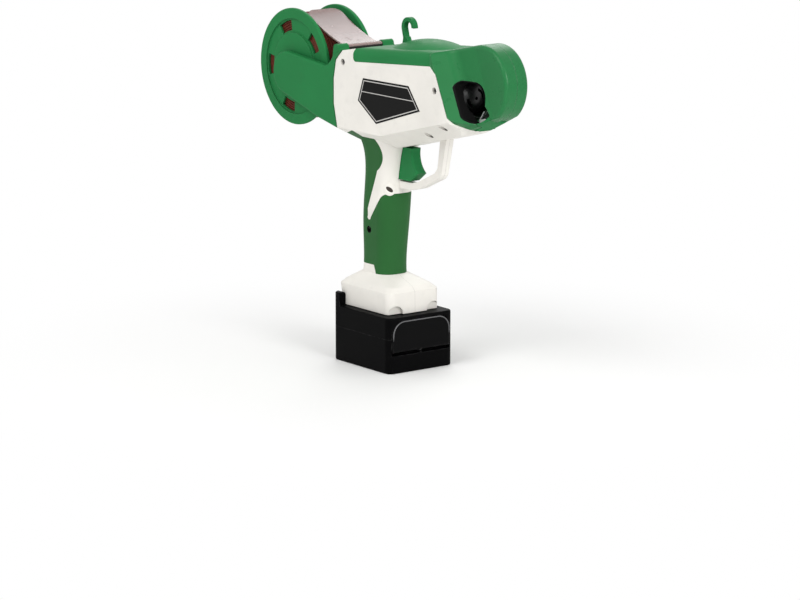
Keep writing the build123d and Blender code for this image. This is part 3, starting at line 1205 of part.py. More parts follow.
# Flanged bush where the wire enters the body's rear wall
with BuildPart() as wire_inlet:
    inlet_z = FEED_Z + TUBE_SLOPE * (REAR_HIGH[0] - FEED_X)
    with BuildSketch(Plane.YZ.offset(REAR_HIGH[0] - INLET_RIM)):
        with Locations((0, inlet_z)):
            Circle(INLET_R + INLET_RIM)
    extrude(amount=INLET_RIM)
    with BuildSketch(Plane.YZ.offset(REAR_HIGH[0])):
        with Locations((0, inlet_z)):
            Circle(INLET_R - RUN_GAP)
    extrude(amount=INLET_LENGTH)
    with BuildSketch(Plane.YZ.offset(REAR_HIGH[0] - INLET_RIM)):
        with Locations((0, inlet_z)):
            Circle(INLET_BORE_R)
    extrude(amount=2 * INLET_LENGTH, mode=Mode.SUBTRACT)
save(wire_inlet, "wire_inlet")

# Steel strip in the nose that bends the wire round the mouth
with BuildPart() as curl_guide:
    with BuildSketch(CURL_PLANE):
        add(ring_sector(CURL_R, CURL_R + CURL_STRIP, CURL_START, CURL_SWEEP))
    extrude(amount=CURL_HALF_WIDTH, both=True)
    with BuildSketch(CURL_PLANE):
        add(ring_sector(CURL_R - BOND_GAP, CURL_R + CURL_STRIP / 2, CURL_START - 1, CURL_SWEEP + 2))
    extrude(amount=TUBE_BORE_R, both=True, mode=Mode.SUBTRACT)
save(curl_guide, "curl_guide")

# Control board on posts of the right half, with its chips and a capacitor
with BuildPart() as control_board:
    board_x = (BOARD_REAR_X + BOARD_FRONT_X) / 2
    board_z = (BOARD_LOW_Z + BOARD_TOP_Z) / 2
    with BuildSketch(Plane.XZ.offset(BOARD_Y)):
        with Locations((board_x, board_z)):
            RectangleRounded(BOARD_FRONT_X - BOARD_REAR_X, BOARD_TOP_Z - BOARD_LOW_Z, BOARD_POST_R)
    extrude(amount=BOARD_THICKNESS)
    with BuildSketch(Plane.XZ.offset(BOARD_Y)):
        with Locations((board_x, board_z)):
            with GridLocations(CHIP_LENGTH + BOARD_POST_R, CHIP_LENGTH + BOARD_POST_R, 1, 2):
                Rectangle(CHIP_LENGTH, CHIP_LENGTH)
    extrude(amount=-CHIP_HEIGHT)
    with BuildSketch(Plane.XZ.offset(BOARD_Y)):
        with Locations((BOARD_FRONT_X - CAPACITOR_R, board_z)):
            Circle(CAPACITOR_R - SEAT_GAP)
    extrude(amount=-CAPACITOR_LENGTH)
save(control_board, "control_board")

# Green trigger, sliding straight back into the grip
with BuildPart() as trigger:
    with BuildSketch(Plane.XZ):
        with BuildLine():
            brow = (TRIGGER_BROW_X, TRIGGER_TOP_Z)
            ThreePointArc(brow, TRIGGER_WAIST, TRIGGER_TIP)
            Polyline(
                TRIGGER_TIP, (TRIGGER_TOE_X, TRIGGER_LOW_Z), (TRIGGER_BACK_X, TRIGGER_LOW_Z),
                (TRIGGER_BACK_X, TRIGGER_TOP_Z), brow,
            )
        make_face()
    extrude(amount=TRIGGER_HALF_WIDTH, both=True)
    face_edges = trigger.edges().filter_by(GeomType.CIRCLE)
    fillet(face_edges, TRIGGER_ROUND)
    with BuildSketch(TRIGGER_SPRING_PLANE.offset(TRIGGER_BACK_X)):
        Circle(TRIGGER_SPRING_R + SPRING_WIRE / 2 + SLIDE_GAP)
    extrude(amount=TRIGGER_SPRING_DEPTH, mode=Mode.SUBTRACT)
save(trigger, "trigger")

# Return spring between the trigger and the grip
with BuildPart() as trigger_spring:
    spring_line = coil_line(
        TRIGGER_SPRING_R, SPRING_PITCH, SPRING_LOOPS, SPRING_WIRE,
        TRIGGER_SPRING_PLANE.offset((TRIGGER_STOP_X + TRIGGER_BACK_X + TRIGGER_SPRING_DEPTH) / 2),
    )
    with BuildSketch(Plane(spring_line @ 0, z_dir=spring_line % 0)):
        Circle(SPRING_WIRE / 2)
    sweep(path=spring_line)
save(trigger_spring, "trigger_spring")
print("trigger spring, least gap between turns", least_gap(spring_line, SPRING_WIRE, SPRING_LOOPS))

# Switch block behind the trigger
with BuildPart() as trigger_switch:
    with Locations((TRIGGER_STOP_X - SEAT_GAP, 0, SWITCH_Z)):
        Box(SWITCH_LENGTH - SEAT_GAP, 2 * SWITCH_HALF_WIDTH, SWITCH_HEIGHT,
            align=(Align.MAX, Align.CENTER, Align.CENTER))
save(trigger_switch, "trigger_switch")


# Wire reel: two green flanges with windows, on a hub that runs on the axle
def reel_flange():
    """Right flange: a disc with a raised middle, a groove round it, windows and the axle bore."""
    with BuildPart() as flange:
        with BuildSketch(REEL_PLANE.offset(DRUM_HALF_WIDTH)):
            Circle(FLANGE_R)
        extrude(amount=FLANGE_THICKNESS)
        fillet(flange.edges(), FLANGE_ROUND)
        with BuildSketch(REEL_PLANE.offset(REEL_HALF_WIDTH - FLANGE_GROOVE)):
            Circle(FLANGE_RING_R)
            Circle(FLANGE_DISC_R, mode=Mode.SUBTRACT)
        extrude(amount=FLANGE_GROOVE, mode=Mode.SUBTRACT)
        with BuildSketch(REEL_PLANE.offset(DRUM_HALF_WIDTH)):
            for window in range(WINDOW_COUNT):
                middle = WINDOW_START + window * 360 / WINDOW_COUNT
                add(ring_sector(WINDOW_INNER_R, WINDOW_OUTER_R, middle - WINDOW_ANGLE / 2, WINDOW_ANGLE))
            Circle(AXLE_R + RUN_GAP)
        extrude(amount=FLANGE_THICKNESS, mode=Mode.SUBTRACT)
    return flange.part


RIGHT_FLANGE = reel_flange()

with BuildPart() as reel_flange_right:
    add(RIGHT_FLANGE)
save(reel_flange_right, "reel_flange_right")

with BuildPart() as reel_flange_left:
    mirror(RIGHT_FLANGE, about=Plane.XZ)
save(reel_flange_left, "reel_flange_left")

with BuildPart() as reel_hub:
    with BuildSketch(REEL_PLANE.offset(-DRUM_HALF_WIDTH)):
        Circle(HUB_R)
        Circle(AXLE_R + RUN_GAP, mode=Mode.SUBTRACT)
    extrude(amount=2 * DRUM_HALF_WIDTH)
save(reel_hub, "reel_hub")

# Wire on the reel: the inner layers as one core, the outer layer wound turn by turn
with BuildPart() as wire_core:
    with BuildSketch(REEL_PLANE.offset(-DRUM_HALF_WIDTH + SEAT_GAP)):
        Circle(WIRE_CORE_R)
        Circle(HUB_R + BOND_GAP, mode=Mode.SUBTRACT)
    extrude(amount=2 * (DRUM_HALF_WIDTH - SEAT_GAP))
save(wire_core, "wire_core")

with BuildPart() as wire_winding:
    turn_r = WIRE_CORE_R + BOND_GAP + WIRE_DIAMETER / 2
    wire_line = coil_line(turn_r, WIRE_PITCH, WIRE_LOOPS, WIRE_DIAMETER, REEL_PLANE)
    with BuildSketch(Plane(wire_line @ 0, z_dir=wire_line % 0)):
        Circle(WIRE_DIAMETER / 2)
    sweep(path=wire_line)
save(wire_winding, "wire_winding")
print("wire winding, least gap between turns", least_gap(wire_line, WIRE_DIAMETER, WIRE_LOOPS))

# Axle held in blind bores of the two arms
with BuildPart() as reel_axle:
    with BuildSketch(REEL_PLANE.offset(-AXLE_HALF_LENGTH)):
        Circle(AXLE_R)
    extrude(amount=2 * AXLE_HALF_LENGTH)
save(reel_axle, "reel_axle")


# Green fork arms behind the body, each with a lug for the guard
def reel_arm():
    """Right arm, from the body's rear edge to the round end at the axle, with its lug inside."""
    with BuildPart() as arm:
        with BuildSketch(Plane.XZ.offset(ARM_INNER)):
            with BuildLine():
                centre = Vector(*ARM_END)
                low_point = centre + Vector(math.sin(ARM_TILT), -math.cos(ARM_TILT)) * ARM_END_R
                top_point = centre + Vector(math.sin(ARM_SLOPE), math.cos(ARM_SLOPE)) * ARM_END_R
                ThreePointArc(top_point, centre - Vector(ARM_END_R, 0), low_point)
                Polyline(
                    low_point, ARM_BELLY, REAR_LOW, REAR_MID, REAR_HIGH, REAR_SHOULDER, REAR_TOP, ARM_NECK,
                )
                ThreePointArc(ARM_NECK, ARM_THROAT, ARM_DIP)
                Line(ARM_DIP, top_point)
            make_face()
        extrude(amount=ARM_THICKNESS)
        outer_edges = arm.faces().sort_by(Axis.Y)[0].edges()
        fillet(outer_edges.filter_by(lambda edge: edge.center().X < ARM_DIP[0]), ARM_ROUND)
        with BuildSketch(Plane.XZ.offset(ARM_INNER - LUG_LENGTH)):
            with Locations((LUG_X, LUG_Z)):
                Circle(LUG_R)
            Polygon(
                (LUG_X - LUG_R, LUG_Z), ARM_THROAT, REAR_SHOULDER, LUG_FOOT, (LUG_X + LUG_R, LUG_Z),
                align=None,
            )
        extrude(amount=LUG_LENGTH + ARM_THICKNESS / 2)
        with BuildSketch(LUG_PLANE.offset(ARM_INNER - LUG_LENGTH)):
            Circle(GUARD_PIN_R + RUN_GAP)
        extrude(amount=GUARD_PIN_HALF_LENGTH - ARM_INNER + LUG_LENGTH, mode=Mode.SUBTRACT)
        with BuildSketch(REEL_PLANE):
            Circle(AXLE_R + RUN_GAP)
        extrude(amount=AXLE_HALF_LENGTH + SEAT_GAP, mode=Mode.SUBTRACT)
    return arm.part


RIGHT_ARM = reel_arm()

with BuildPart() as reel_arm_right:
    add(RIGHT_ARM)
save(reel_arm_right, "reel_arm_right")

with BuildPart() as reel_arm_left:
    mirror(RIGHT_ARM, about=Plane.XZ)
save(reel_arm_left, "reel_arm_left")

# Steel rod through the lugs
with BuildPart() as guard_pin:
    with BuildSketch(LUG_PLANE.offset(-GUARD_PIN_HALF_LENGTH + SEAT_GAP)):
        Circle(GUARD_PIN_R)
    extrude(amount=2 * (GUARD_PIN_HALF_LENGTH - SEAT_GAP))
save(guard_pin, "guard_pin")

# Clear guard over the reel, a bent sheet with a knuckle round the rod
with BuildPart() as reel_guard:
    with BuildSketch(Plane.XZ):
        with BuildLine():
            middle_x = (LUG_X + GUARD_TAIL[0]) / 2
            middle_z = (LUG_Z + GUARD_TAIL[1]) / 2 - GUARD_SAG
            ThreePointArc((LUG_X, LUG_Z), (middle_x, middle_z), GUARD_TAIL)
        trace(line_width=GUARD_SHEET)
    extrude(amount=GUARD_HALF_WIDTH, both=True)
    tail_face = reel_guard.faces().sort_by(Axis.X)[0]
    fillet(tail_face.edges().filter_by(lambda edge: edge.length < 2 * GUARD_SHEET), GUARD_TAIL_ROUND)
    with BuildSketch(LUG_PLANE):
        Circle(GUARD_KNUCKLE_R)
    extrude(amount=GUARD_HALF_WIDTH, both=True)
    with BuildSketch(LUG_PLANE):
        Circle(GUARD_PIN_R + RUN_GAP)
    extrude(amount=BODY_HALF_WIDTH, both=True, mode=Mode.SUBTRACT)
save(reel_guard, "reel_guard")

# Battery: tub with four cells, cover with the slide rail and rear corner posts
with BuildPart() as battery_case:
    with BuildSketch(Plane.XY):
        RectangleRounded(2 * PACK_HALF_LENGTH, 2 * PACK_HALF_WIDTH, PACK_CORNER)
    extrude(amount=PACK_SPLIT_Z)
    fillet(battery_case.edges().group_by(Axis.Z)[0], PACK_EDGE_ROUND)
    with BuildSketch(Plane.XY.offset(PACK_WALL)):
        with Locations((CELL_ROW_X, 0)):
            RectangleRounded(CELL_ROOM_LENGTH, 2 * (PACK_HALF_WIDTH - PACK_WALL), PACK_CORNER - PACK_WALL)
    extrude(amount=PACK_SPLIT_Z, mode=Mode.SUBTRACT)
    add(lever_recess(), mode=Mode.SUBTRACT)
save(battery_case, "battery_case")

with BuildPart() as battery_cover:
    with BuildSketch(Plane.XY.offset(PACK_SPLIT_Z)):
        RectangleRounded(2 * PACK_HALF_LENGTH, 2 * PACK_HALF_WIDTH, PACK_CORNER)
    extrude(amount=PACK_TOP_Z - PACK_SPLIT_Z)
    fillet(battery_cover.edges().group_by(Axis.Z)[-1], PACK_EDGE_ROUND)
    with BuildSketch(Plane.XY.offset(PACK_SPLIT_Z)):
        with Locations((CELL_ROW_X, 0)):
            RectangleRounded(CELL_ROOM_LENGTH, 2 * (PACK_HALF_WIDTH - PACK_WALL), PACK_CORNER - PACK_WALL)
    extrude(amount=PACK_TOP_Z - PACK_SPLIT_Z - PACK_WALL, mode=Mode.SUBTRACT)
    with BuildSketch(Plane.YZ.offset(RAIL_REAR_X)):
        with Locations((0, PACK_TOP_Z)):
            Rectangle(2 * RAIL_NECK_HALF_WIDTH, RAIL_TOP_Z - PACK_TOP_Z, align=(Align.CENTER, Align.MIN))
        with Locations((0, RAIL_LIP_Z)):
            Rectangle(2 * RAIL_HALF_WIDTH, RAIL_TOP_Z - RAIL_LIP_Z, align=(Align.CENTER, Align.MIN))
    extrude(amount=RAIL_FRONT_X - RAIL_REAR_X)
    for side in (-1, 1):
        with BuildSketch(Plane.XY.offset(PACK_SPLIT_Z)):
            with Locations((-PACK_HALF_LENGTH, side * PACK_HALF_WIDTH)):
                Rectangle(POST_LENGTH, POST_WIDTH, align=(Align.MIN, Align.MAX if side > 0 else Align.MIN))
            RectangleRounded(2 * PACK_HALF_LENGTH, 2 * PACK_HALF_WIDTH, PACK_CORNER, mode=Mode.INTERSECT)
        extrude(amount=POST_TOP_Z - PACK_SPLIT_Z)
        with Locations((RAIL_FRONT_X, side * BLADE_SPREAD, RAIL_TOP_Z)):
            Box(BLADE_LENGTH + SLIDE_GAP, BLADE_THICKNESS + 2 * SLIDE_GAP,
                2 * (RAIL_TOP_Z - BLADE_LOW_Z + SLIDE_GAP),
                align=(Align.MAX, Align.CENTER, Align.CENTER), mode=Mode.SUBTRACT)
    posts = battery_cover.faces().filter_by(Plane.XY).group_by(Axis.Z)[-1]
    fillet([edge for face in posts for edge in face.edges()], PACK_EDGE_ROUND)
    add(lever_recess(), mode=Mode.SUBTRACT)
save(battery_cover, "battery_cover")

with BuildPart() as battery_cells:
    pitch = 2 * (CELL_R + SEAT_GAP)
    with BuildSketch(Plane.XZ.offset(-CELL_LENGTH / 2)):
        with Locations((CELL_ROW_X, PACK_WALL + SEAT_GAP + CELL_R)):
            with GridLocations(pitch, pitch, CELL_COUNT, 1):
                Circle(CELL_R)
    extrude(amount=CELL_LENGTH)
save(battery_cells, "battery_cells")

# Arch-shaped release lever in the battery's front, pressed down against its spring
with BuildPart() as release_lever:
    add(lever_arch(0, PACK_HALF_LENGTH - LEVER_DEPTH, LEVER_DEPTH))
    fillet(release_lever.faces().sort_by(Axis.X)[-1].edges(), PACK_EDGE_ROUND)
    with BuildSketch(LEVER_SPRING_PLANE.offset(LEVER_LOW_Z)):
        Circle(LEVER_SPRING_R + SPRING_WIRE / 2 + SLIDE_GAP)
    extrude(amount=LEVER_SPRING_DEPTH, mode=Mode.SUBTRACT)
save(release_lever, "release_lever")

with BuildPart() as release_spring:
    lever_spring_line = coil_line(
        LEVER_SPRING_R, SPRING_PITCH, LEVER_SPRING_LOOPS, SPRING_WIRE,
        LEVER_SPRING_PLANE.offset((LEVER_FLOOR_Z + LEVER_LOW_Z + LEVER_SPRING_DEPTH) / 2),
    )
    with BuildSketch(Plane(lever_spring_line @ 0, z_dir=lever_spring_line % 0)):
        Circle(SPRING_WIRE / 2)
    sweep(path=lever_spring_line)
save(release_spring, "release_spring")
lever_gap = least_gap(lever_spring_line, SPRING_WIRE, LEVER_SPRING_LOOPS)
print("release spring, least gap between turns", lever_gap)

# Terminal block in the shoe, with two blades that slide into the battery's rail
with BuildPart() as terminal_block:
    block_front = RAIL_FRONT_X + TERMINAL_LENGTH
    with Locations((block_front - SEAT_GAP, 0, SHOE_BOTTOM_Z + SLIDE_GAP)):
        Box(TERMINAL_LENGTH - 2 * SLIDE_GAP, 2 * (RAIL_NECK_HALF_WIDTH - SEAT_GAP),
            RAIL_TOP_Z - SHOE_BOTTOM_Z, align=(Align.MAX, Align.CENTER, Align.MIN))
    for side in (-1, 1):
        with Locations((block_front - TERMINAL_LENGTH / 2, side * BLADE_SPREAD, BLADE_LOW_Z)):
            Box(TERMINAL_LENGTH / 2 + BLADE_LENGTH - SLIDE_GAP, BLADE_THICKNESS,
                RAIL_TOP_Z - BLADE_LOW_Z - SLIDE_GAP, align=(Align.MAX, Align.CENTER, Align.MIN))
save(terminal_block, "terminal_block")
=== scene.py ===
import json
import math

import bmesh
import bpy
from mathutils import Matrix, Vector
from mathutils.bvhtree import BVHTree


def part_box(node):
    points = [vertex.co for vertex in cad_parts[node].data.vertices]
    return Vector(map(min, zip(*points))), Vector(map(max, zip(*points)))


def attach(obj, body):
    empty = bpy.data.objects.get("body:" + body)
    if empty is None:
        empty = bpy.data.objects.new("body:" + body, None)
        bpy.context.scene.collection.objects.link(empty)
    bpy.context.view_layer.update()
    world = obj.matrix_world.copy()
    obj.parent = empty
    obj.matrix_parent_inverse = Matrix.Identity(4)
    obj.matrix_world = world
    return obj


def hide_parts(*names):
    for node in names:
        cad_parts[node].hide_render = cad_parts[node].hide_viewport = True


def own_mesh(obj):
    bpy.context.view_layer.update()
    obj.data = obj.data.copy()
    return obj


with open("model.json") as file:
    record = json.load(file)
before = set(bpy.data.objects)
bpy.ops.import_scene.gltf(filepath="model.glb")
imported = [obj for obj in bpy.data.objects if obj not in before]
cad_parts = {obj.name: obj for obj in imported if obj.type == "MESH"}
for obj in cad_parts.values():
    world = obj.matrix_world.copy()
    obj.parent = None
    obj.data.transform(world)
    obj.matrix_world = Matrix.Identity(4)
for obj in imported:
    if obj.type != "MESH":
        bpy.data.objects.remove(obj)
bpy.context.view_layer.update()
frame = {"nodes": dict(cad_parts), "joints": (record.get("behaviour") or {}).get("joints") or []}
MM = 0.001


# The studio: a pale floor that runs out to white and soft light from all round, with a large
# lamp over the tool's right side, a smaller one in front of the nose and a weak one behind.
VIEW_AZIMUTH = math.radians(53.0)
VIEW_ELEVATION = math.radians(11.75)
VIEW_DISTANCE = 3.3333
VIEW_TARGET = Vector((-0.00543, 0.01262, 0.05736))
VIEW_LENS = 157.5
LAMP_TARGET = Vector((0, 0, 0.2))
LAMPS = (
    ("key_lamp", (0.2, -1.5, 1.7), 1.2, 19),
    ("front_lamp", (1.7, -0.1, 0.9), 0.7, 15),
    ("rear_lamp", (-1.2, 1.2, 1.4), 1.2, 9),
)
WHITE = (1, 1, 1, 1)
SKY_LIGHT = 0.54
SKY_SEEN = 1.0
FLOOR_COLOUR = (0.92, 0.92, 0.91, 1)
FLOOR_ROUGH = 0.7
FLOOR_SHINE = 0.1
FLOOR_RADIUS = 9.0
FLOOR_SIDES = 96
FLOOR_FADE = (0.08, 0.45)


def placed(name, data):
    """New object in the scene, made of the data given."""
    thing = bpy.data.objects.new(name, data)
    bpy.context.scene.collection.objects.link(thing)
    return thing


def aimed(direction):
    """Rotation of a camera or lamp that looks along a direction."""
    return direction.to_track_quat("-Z", "Y").to_euler()


towards_camera = Vector((
    math.sin(VIEW_AZIMUTH) * math.cos(VIEW_ELEVATION),
    -math.cos(VIEW_AZIMUTH) * math.cos(VIEW_ELEVATION),
    math.sin(VIEW_ELEVATION),
))
camera = placed("studio_camera", bpy.data.cameras.new("studio_camera"))
camera.data.lens = VIEW_LENS
camera.location = VIEW_TARGET + towards_camera * VIEW_DISTANCE
camera.rotation_euler = aimed(-towards_camera)
bpy.context.scene.camera = camera
bpy.context.scene.view_settings.view_transform = "Standard"

for name, place, size, power in LAMPS:
    lamp = placed(name, bpy.data.lights.new(name, "AREA"))
    lamp.data.size = size
    lamp.data.energy = power
    lamp.location = place
    lamp.rotation_euler = aimed(LAMP_TARGET - lamp.location)


def feed(tree, socket, value):
    """Give an input its value: a number, a colour or the output of another node."""
    if isinstance(value, bpy.types.NodeSocket):
        tree.links.new(value, socket)
    else:
        socket.default_value = value


def maths(tree, operation, first, second):
    """Result of one Math node; each operand is a number or the output of another node."""
    node = tree.nodes.new("ShaderNodeMath")
    node.operation = operation
    for socket, operand in zip(node.inputs, (first, second)):
        feed(tree, socket, operand)
    return node.outputs[0]


world = bpy.data.worlds.new("studio_world")
bpy.context.scene.world = world
world.use_nodes = True
sky_tree = world.node_tree
rays = sky_tree.nodes.new("ShaderNodeLightPath").outputs
seen = maths(sky_tree, "MAXIMUM", rays["Is Camera Ray"], rays["Is Glossy Ray"])
seen = maths(sky_tree, "MAXIMUM", seen, rays["Is Transmission Ray"])
brighter = maths(sky_tree, "MULTIPLY", seen, SKY_SEEN - SKY_LIGHT)
sky = sky_tree.nodes["Background"]
sky.inputs["Color"].default_value = WHITE
sky_tree.links.new(maths(sky_tree, "ADD", brighter, SKY_LIGHT), sky.inputs["Strength"])


def new_material(name):
    """Node material with its Principled shader, as (material, tree, shader)."""
    material = bpy.data.materials.new(name)
    material.use_nodes = True
    tree = material.node_tree
    return material, tree, tree.nodes["Principled BSDF"]


def object_place(tree):
    """Place on the piece, which for every piece of the tool is the place in the tool's frame."""
    return tree.nodes.new("ShaderNodeTexCoord").outputs["Object"]


def ranged(tree, value, low, high, curve="LINEAR"):
    """Value stretched so that low gives 0 and high gives 1."""
    stretch = tree.nodes.new("ShaderNodeMapRange")
    stretch.interpolation_type = curve
    stretch.inputs["From Min"].default_value = low
    stretch.inputs["From Max"].default_value = high
    tree.links.new(value, stretch.inputs["Value"])
    return stretch.outputs["Result"]


def meshed(name, form, *materials):
    """New object made of a finished form, with its materials in their order."""
    mesh = bpy.data.meshes.new(name)
    form.to_mesh(mesh)
    form.free()
    for material in materials:
        mesh.materials.append(material)
    return placed(name, mesh)


floor_paint, tree, shader = new_material("floor_paint")
shader.inputs["Base Color"].default_value = FLOOR_COLOUR
shader.inputs["Roughness"].default_value = FLOOR_ROUGH
shader.inputs["Specular IOR Level"].default_value = FLOOR_SHINE
from_middle = tree.nodes.new("ShaderNodeVectorMath")
from_middle.operation = "LENGTH"
tree.links.new(object_place(tree), from_middle.inputs[0])
far_out = ranged(tree, from_middle.outputs["Value"], *FLOOR_FADE, curve="SMOOTHSTEP")
seen = tree.nodes.new("ShaderNodeLightPath").outputs["Is Camera Ray"]
glow = tree.nodes.new("ShaderNodeEmission")
glow.inputs["Color"].default_value = WHITE
fade = tree.nodes.new("ShaderNodeMixShader")
tree.links.new(maths(tree, "MULTIPLY", far_out, seen), fade.inputs["Fac"])
tree.links.new(shader.outputs["BSDF"], fade.inputs[1])
tree.links.new(glow.outputs["Emission"], fade.inputs[2])
tree.links.new(fade.outputs["Shader"], tree.nodes["Material Output"].inputs["Surface"])
floor_form = bmesh.new()
bmesh.ops.create_circle(floor_form, cap_ends=True, segments=FLOOR_SIDES, radius=FLOOR_RADIUS)
floor = meshed("floor", floor_form, floor_paint)


# White clamshell of the body, grip and battery shoe: two halves of injection moulded plastic
# with a fine spark-eroded grain, screwed together along the middle of the tool.
WHITE_SHELL = (0.80, 0.775, 0.725)
FLOAT = "NodeSocketFloat"
VECTOR = "NodeSocketVector"


def new_group(name, inputs, outputs):
    """Node group with sockets of the kinds given, and the sockets that its results go to."""
    group = bpy.data.node_groups.new(name, "ShaderNodeTree")
    for way, sockets in (("INPUT", inputs), ("OUTPUT", outputs)):
        for label, kind in sockets.items():
            group.interface.new_socket(label, in_out=way, socket_type=kind)
    return group, group.nodes.new("NodeGroupOutput").inputs


def scaled_noise(tree, place, scale, detail):
    """Noise of a scale per metre and a depth of detail."""
    noise = tree.nodes.new("ShaderNodeTexNoise")
    noise.inputs["Detail"].default_value = detail
    tree.links.new(place, noise.inputs["Vector"])
    feed(tree, noise.inputs["Scale"], scale)
    return noise.outputs["Fac"]


def patches(tree, place, scale, detail, low, high):
    """Noise in patches, from 0 where it is at low to 1 where it is at high."""
    return ranged(tree, scaled_noise(tree, place, scale, detail), low, high)


# Moulded grain: the texture etched into the mould, flow marks of the melt and smudges of handling.
GRAIN_DETAIL = 3
TONE_PATCHES = (22, 3, 0.3, 0.7)
SMUDGE_PATCHES = (95, 7, 0.56, 0.74)

moulded_grain, results = new_group(
    "moulded_grain", {"Scale": FLOAT}, {"Height": FLOAT, "Tone": FLOAT, "Smudge": FLOAT})
links = moulded_grain.links
grain_scale = moulded_grain.nodes.new("NodeGroupInput").outputs["Scale"]
place = object_place(moulded_grain)
links.new(scaled_noise(moulded_grain, place, grain_scale, GRAIN_DETAIL), results["Height"])
links.new(patches(moulded_grain, place, *TONE_PATCHES), results["Tone"])
links.new(patches(moulded_grain, place, *SMUDGE_PATCHES), results["Smudge"])

# Softened edge: the small radius of every moulded edge, and a pale line along it of wear and
# painted highlight.
EDGE_SAMPLES = 6
WEAR_HIGHLIGHT_PATCHES = (260, 5, 0.4, 0.65)
WEAR_HIGHLIGHT_BEND = (0.995, 0.86)

soft_edge, results = new_group("soft_edge", {"Radius": FLOAT}, {"Normal": VECTOR, "Rub": FLOAT})
links = soft_edge.links
round_over = soft_edge.nodes.new("ShaderNodeBevel")
round_over.samples = EDGE_SAMPLES
edge_radius = soft_edge.nodes.new("NodeGroupInput").outputs["Radius"]
flat_normal = soft_edge.nodes.new("ShaderNodeNewGeometry").outputs["Normal"]
bend = soft_edge.nodes.new("ShaderNodeVectorMath")
bend.operation = "DOT_PRODUCT"
links.new(edge_radius, round_over.inputs["Radius"])
links.new(round_over.outputs["Normal"], results["Normal"])
links.new(round_over.outputs["Normal"], bend.inputs[0])
links.new(flat_normal, bend.inputs[1])
turned = ranged(soft_edge, bend.outputs["Value"], *WEAR_HIGHLIGHT_BEND)
broken = patches(soft_edge, object_place(soft_edge), *WEAR_HIGHLIGHT_PATCHES)
links.new(maths(soft_edge, "MULTIPLY", turned, broken), results["Rub"])


def along_axes(tree):
    """Place in the tool's frame, as its X, Y and Z."""
    axes = tree.nodes.new("ShaderNodeSeparateXYZ")
    tree.links.new(object_place(tree), axes.inputs["Vector"])
    return axes.outputs


def all_of(tree, *masks):
    """Mask that is 1 where every one of the masks is 1."""
    whole = masks[0]
    for mask in masks[1:]:
        whole = maths(tree, "MULTIPLY", whole, mask)
    return whole


def between(tree, value, low, high):
    """Mask that is 1 where a value lies between low and high."""
    return all_of(tree, maths(tree, "GREATER_THAN", value, low),
                  maths(tree, "LESS_THAN", value, high))


# Parting line: the fine dark line where two moulded halves meet in the tool's middle plane.
SEAM_HALF_WIDTH = 0.12 * MM
SEAM_SHADE = 0.42

parting_line, results = new_group("parting_line", {}, {"Shade": FLOAT})
on_seam = between(parting_line, along_axes(parting_line)["Y"], -SEAM_HALF_WIDTH, SEAM_HALF_WIDTH)
parting_line.links.new(maths(parting_line, "MULTIPLY", on_seam, SEAM_SHADE), results["Shade"])

# Moulded plastic: how far tone, smudges, edge wear with painted highlight and shades change its
# colour and gloss.
TONE_SHARES = (0.95, 1.05)
TONE_ROUGH = 0.08
SMUDGE_COVER = 0.3
SMUDGE_SHARE = 0.86
SMUDGE_ROUGH = -0.1
WEAR_HIGHLIGHT_COVER = 0.6
WEAR_HIGHLIGHT_SHARE = 1.15
SHADE_SHARE = 0.03
GRAIN_BUMP = 0.5


def add_group(tree, group, **values):
    """Results of a node group that is placed in a tree, with its inputs set."""
    node = tree.nodes.new("ShaderNodeGroup")
    node.node_tree = group
    for label, value in values.items():
        node.inputs[label].default_value = value
    return node.outputs


# Sockets of a Mix node that hold its colours; their names are those of its other sockets too.
MIX_FIRST, MIX_SECOND, MIX_RESULT = 6, 7, 2


def mixed(tree, factor, first, second):
    """Colour between two colours, each a triple or the output of another node."""
    mix = tree.nodes.new("ShaderNodeMix")
    mix.data_type = "RGBA"
    tree.links.new(factor, mix.inputs["Factor"])
    for index, colour in ((MIX_FIRST, first), (MIX_SECOND, second)):
        feed(tree, mix.inputs[index], (*colour, 1) if isinstance(colour, tuple) else colour)
    return mix.outputs[MIX_RESULT]


def tinted(colour, share):
    """Colour made lighter or darker by a share."""
    return tuple(channel * share for channel in colour)


def shaded(tree, finish, colour, shades):
    """Finish that turns nearly black where the groups in shades say, which mark dark joints and
    painted shade.
    """
    for shade in shades:
        dark = add_group(tree, shade)["Shade"]
        finish = mixed(tree, dark, finish, tinted(colour, SHADE_SHARE))
    return finish


def add_bump(tree, shader, height, strength, depth, normal=None):
    """Relief on a shader, laid over the normal of softened edges where one is given."""
    bump = tree.nodes.new("ShaderNodeBump")
    bump.inputs["Strength"].default_value = strength
    bump.inputs["Distance"].default_value = depth
    tree.links.new(height, bump.inputs["Height"])
    if normal is not None:
        tree.links.new(normal, bump.inputs["Normal"])
    tree.links.new(bump.outputs["Normal"], shader.inputs["Normal"])


